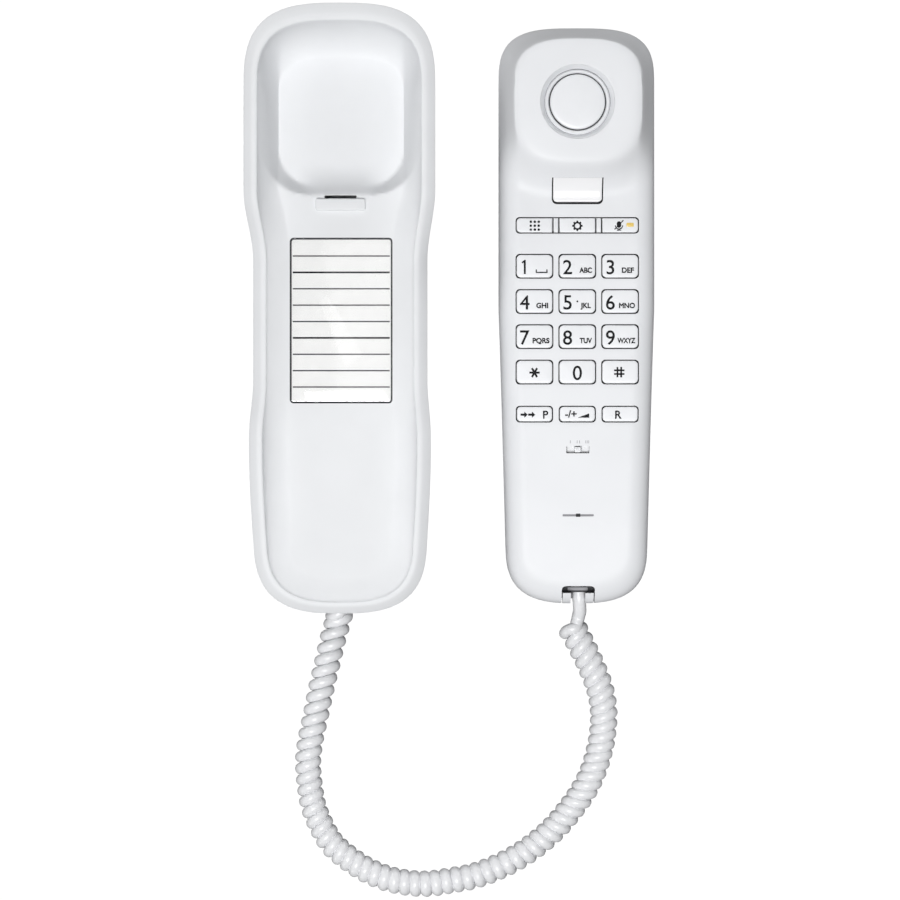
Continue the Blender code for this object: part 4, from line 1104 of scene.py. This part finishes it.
def draw_number_legend(bm, name, at, z):
    x, y = at
    if name in "23456789":
        letters(bm, name, (x - 3.3, y - 0.28), DIGIT_HEIGHT, z, weight=0.008)
    if name in LETTERS:
        text, shift, width = LETTERS[name]
        letters(bm, text, (x + shift, y - 1.3), LETTER_HEIGHT, z, width, 0.037)
    if name == "1":
        plate(bm, at, [(-2.95, -2.65), (-2.95, 2.1), (-3.45, 2.1), (-4.35, 1.35), (-4.05, 0.9),
                       (-3.6, 1.25), (-3.6, -2.65)], z)
        for start, end in (((0.6, -1.1), (0.6, -2.15)), ((0.45, -2.1), (4.35, -2.1)),
                           ((4.2, -2.15), (4.2, -1.1))):
            stroke(bm, at, start, end, 0.4, z)
    elif name == "5":
        dot(bm, at, 0.3, z + 0.1, 16, 0.3)
    elif name == "0":
        letters(bm, "0", (x, y - 0.25), DIGIT_HEIGHT, z, weight=0.008)
    elif name == "star":
        for k, angle in enumerate((0.0, math.pi / 3, math.tau / 3)):
            dx, dy = 1.75 * math.cos(angle), 1.75 * math.sin(angle)
            stroke(bm, (x, y - 0.2), (-dx, -dy), (dx, dy), 0.68, z + 0.003 * k)
    elif name == "hash":
        for shift in (-0.62, 0.62):
            stroke(bm, at, (shift - 0.3, -1.8), (shift - 0.3, 1.7), 0.58, z)
            stroke(bm, at, (-2.05, shift - 0.05), (1.45, shift - 0.05), 0.58, z + 0.004)


def draw_function_legend(bm, name, at, z):
    x, y = at
    if name == "directory":
        for i in (-1, 0, 1):
            for j in (-1, 0, 1):
                dot(bm, (x + 0.1 + 1.33 * i, y - 0.15 + 1.33 * j), 0.43, z)
    elif name == "settings":
        centre = (x, y - 0.2)
        arc(bm, centre, (0.82, 1.38), 0.0, 360.0, z, 40)
        for tooth in zip(circle((0.0, 0.0), 1.2, 8), circle((0.0, 0.0), 1.75, 8)):
            stroke(bm, centre, *tooth, 0.62, z + 0.004)
    elif name == "mute":
        draw_muted_microphone(bm, (x - 0.4, y), z)
    elif name == "redial":
        for shift in (-3.55, -0.98):
            plate(bm, (x + shift, y - 0.2), ARROW, z)
        letters(bm, "P", (x + 3.75, y - 0.15), 2.65, z, weight=0.02)
    elif name == "volume":
        letters(bm, "-/+", (x - 2.2, y + 0.05), 2.5, z, 3.9, 0.028)
        plate(bm, at, [(0.1, -1.2), (4.0, -1.2), (4.0, 0.25)], z)
    elif name == "flash":
        letters(bm, "R", (x - 0.6, y - 0.15), 2.65, z, weight=0.02)


def draw_muted_microphone(bm, at, z):
    """A microphone on its stand, struck through."""
    x, y = at
    stack(bm, (x, y + 0.25), (1.45, 2.2), 0.7, [(0.0, z - 0.025), (0.0, z + 0.025)])
    arc(bm, (x, y - 0.05), (1.05, 1.4), 180.0, 360.0, z + 0.002)
    bars = (((0.0, -1.1), (0.0, -1.65), 0.4), ((-0.7, -1.65), (0.7, -1.65), 0.34),
            ((-1.5, -1.4), (1.5, 1.7), 0.34))
    for k, bar in enumerate(bars):
        stroke(bm, at, *bar, z + 0.004 + 0.002 * k)


def make_keys():
    square, rounded = 0.25, 1.3
    row_ends = {"directory": (square, rounded, rounded, square),
                "mute": (rounded, square, square, rounded)}
    for size, names, radius, crown, draw in (
            (NUMBER_KEY, NUMBER_NAMES, 1.5, 0.07, draw_number_legend),
            (FUNCTION_KEY, FUNCTION_NAMES, square, 0.04, draw_function_legend),
            (LOWER_KEY, LOWER_NAMES, rounded, 0.04, draw_function_legend)):
        for name in names:
            centre, top = key_piece(name, size, row_ends.get(name, radius), crown)
            bm = bmesh.new()
            draw(bm, name, centre, top)
            piece(f"legend_{name}", bm, HANDSET_X, "print", f"key_{name}", "key_plastic")

    centre, size, bottom, top = footprint("mute_lamp_lens", HANDSET_X)
    bm = bmesh.new()
    stack(bm, centre, size, 0.3, [(0.0, bottom), *rounded_edge(0.2, top)])
    lamp = piece("mute_lamp", bm, HANDSET_X, "lamp_amber", "key_mute")
    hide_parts("mute_lamp_lens")

    centre, size, bottom, top = footprint("keypad_mat", HANDSET_X)
    bm = bmesh.new()
    stack(bm, centre, size, 3.0, [(0.0, bottom), (0.0, bottom + 1.4)])
    row_y = on_handset("key_settings")[1]
    for x in ((COLUMNS[0] + COLUMNS[1]) / 2, (COLUMNS[1] + COLUMNS[2]) / 2):
        stack(bm, (x, row_y), (1.55, FUNCTION_KEY[1]), 0.1,
              [(0.0, bottom + 1.0), *rounded_edge(0.2, top)])
    second_material_below(bm, top - 0.9)
    mat = piece("keypad_membrane", bm, HANDSET_X, ("key_plastic", "silicone"), "handset",
                "silicone")
    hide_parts("keypad_mat")


def dress_cad_nodes():
    """Better materials for the CAD nodes that show as they are."""
    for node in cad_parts.values():
        for slot in node.material_slots:
            if slot.material and slot.material.name.split(".")[0] in M:
                slot.material = M[slot.material.name.split(".")[0]]


make_studio()
make_cord()
make_base()
make_handset()
make_keys()
dress_cad_nodes()
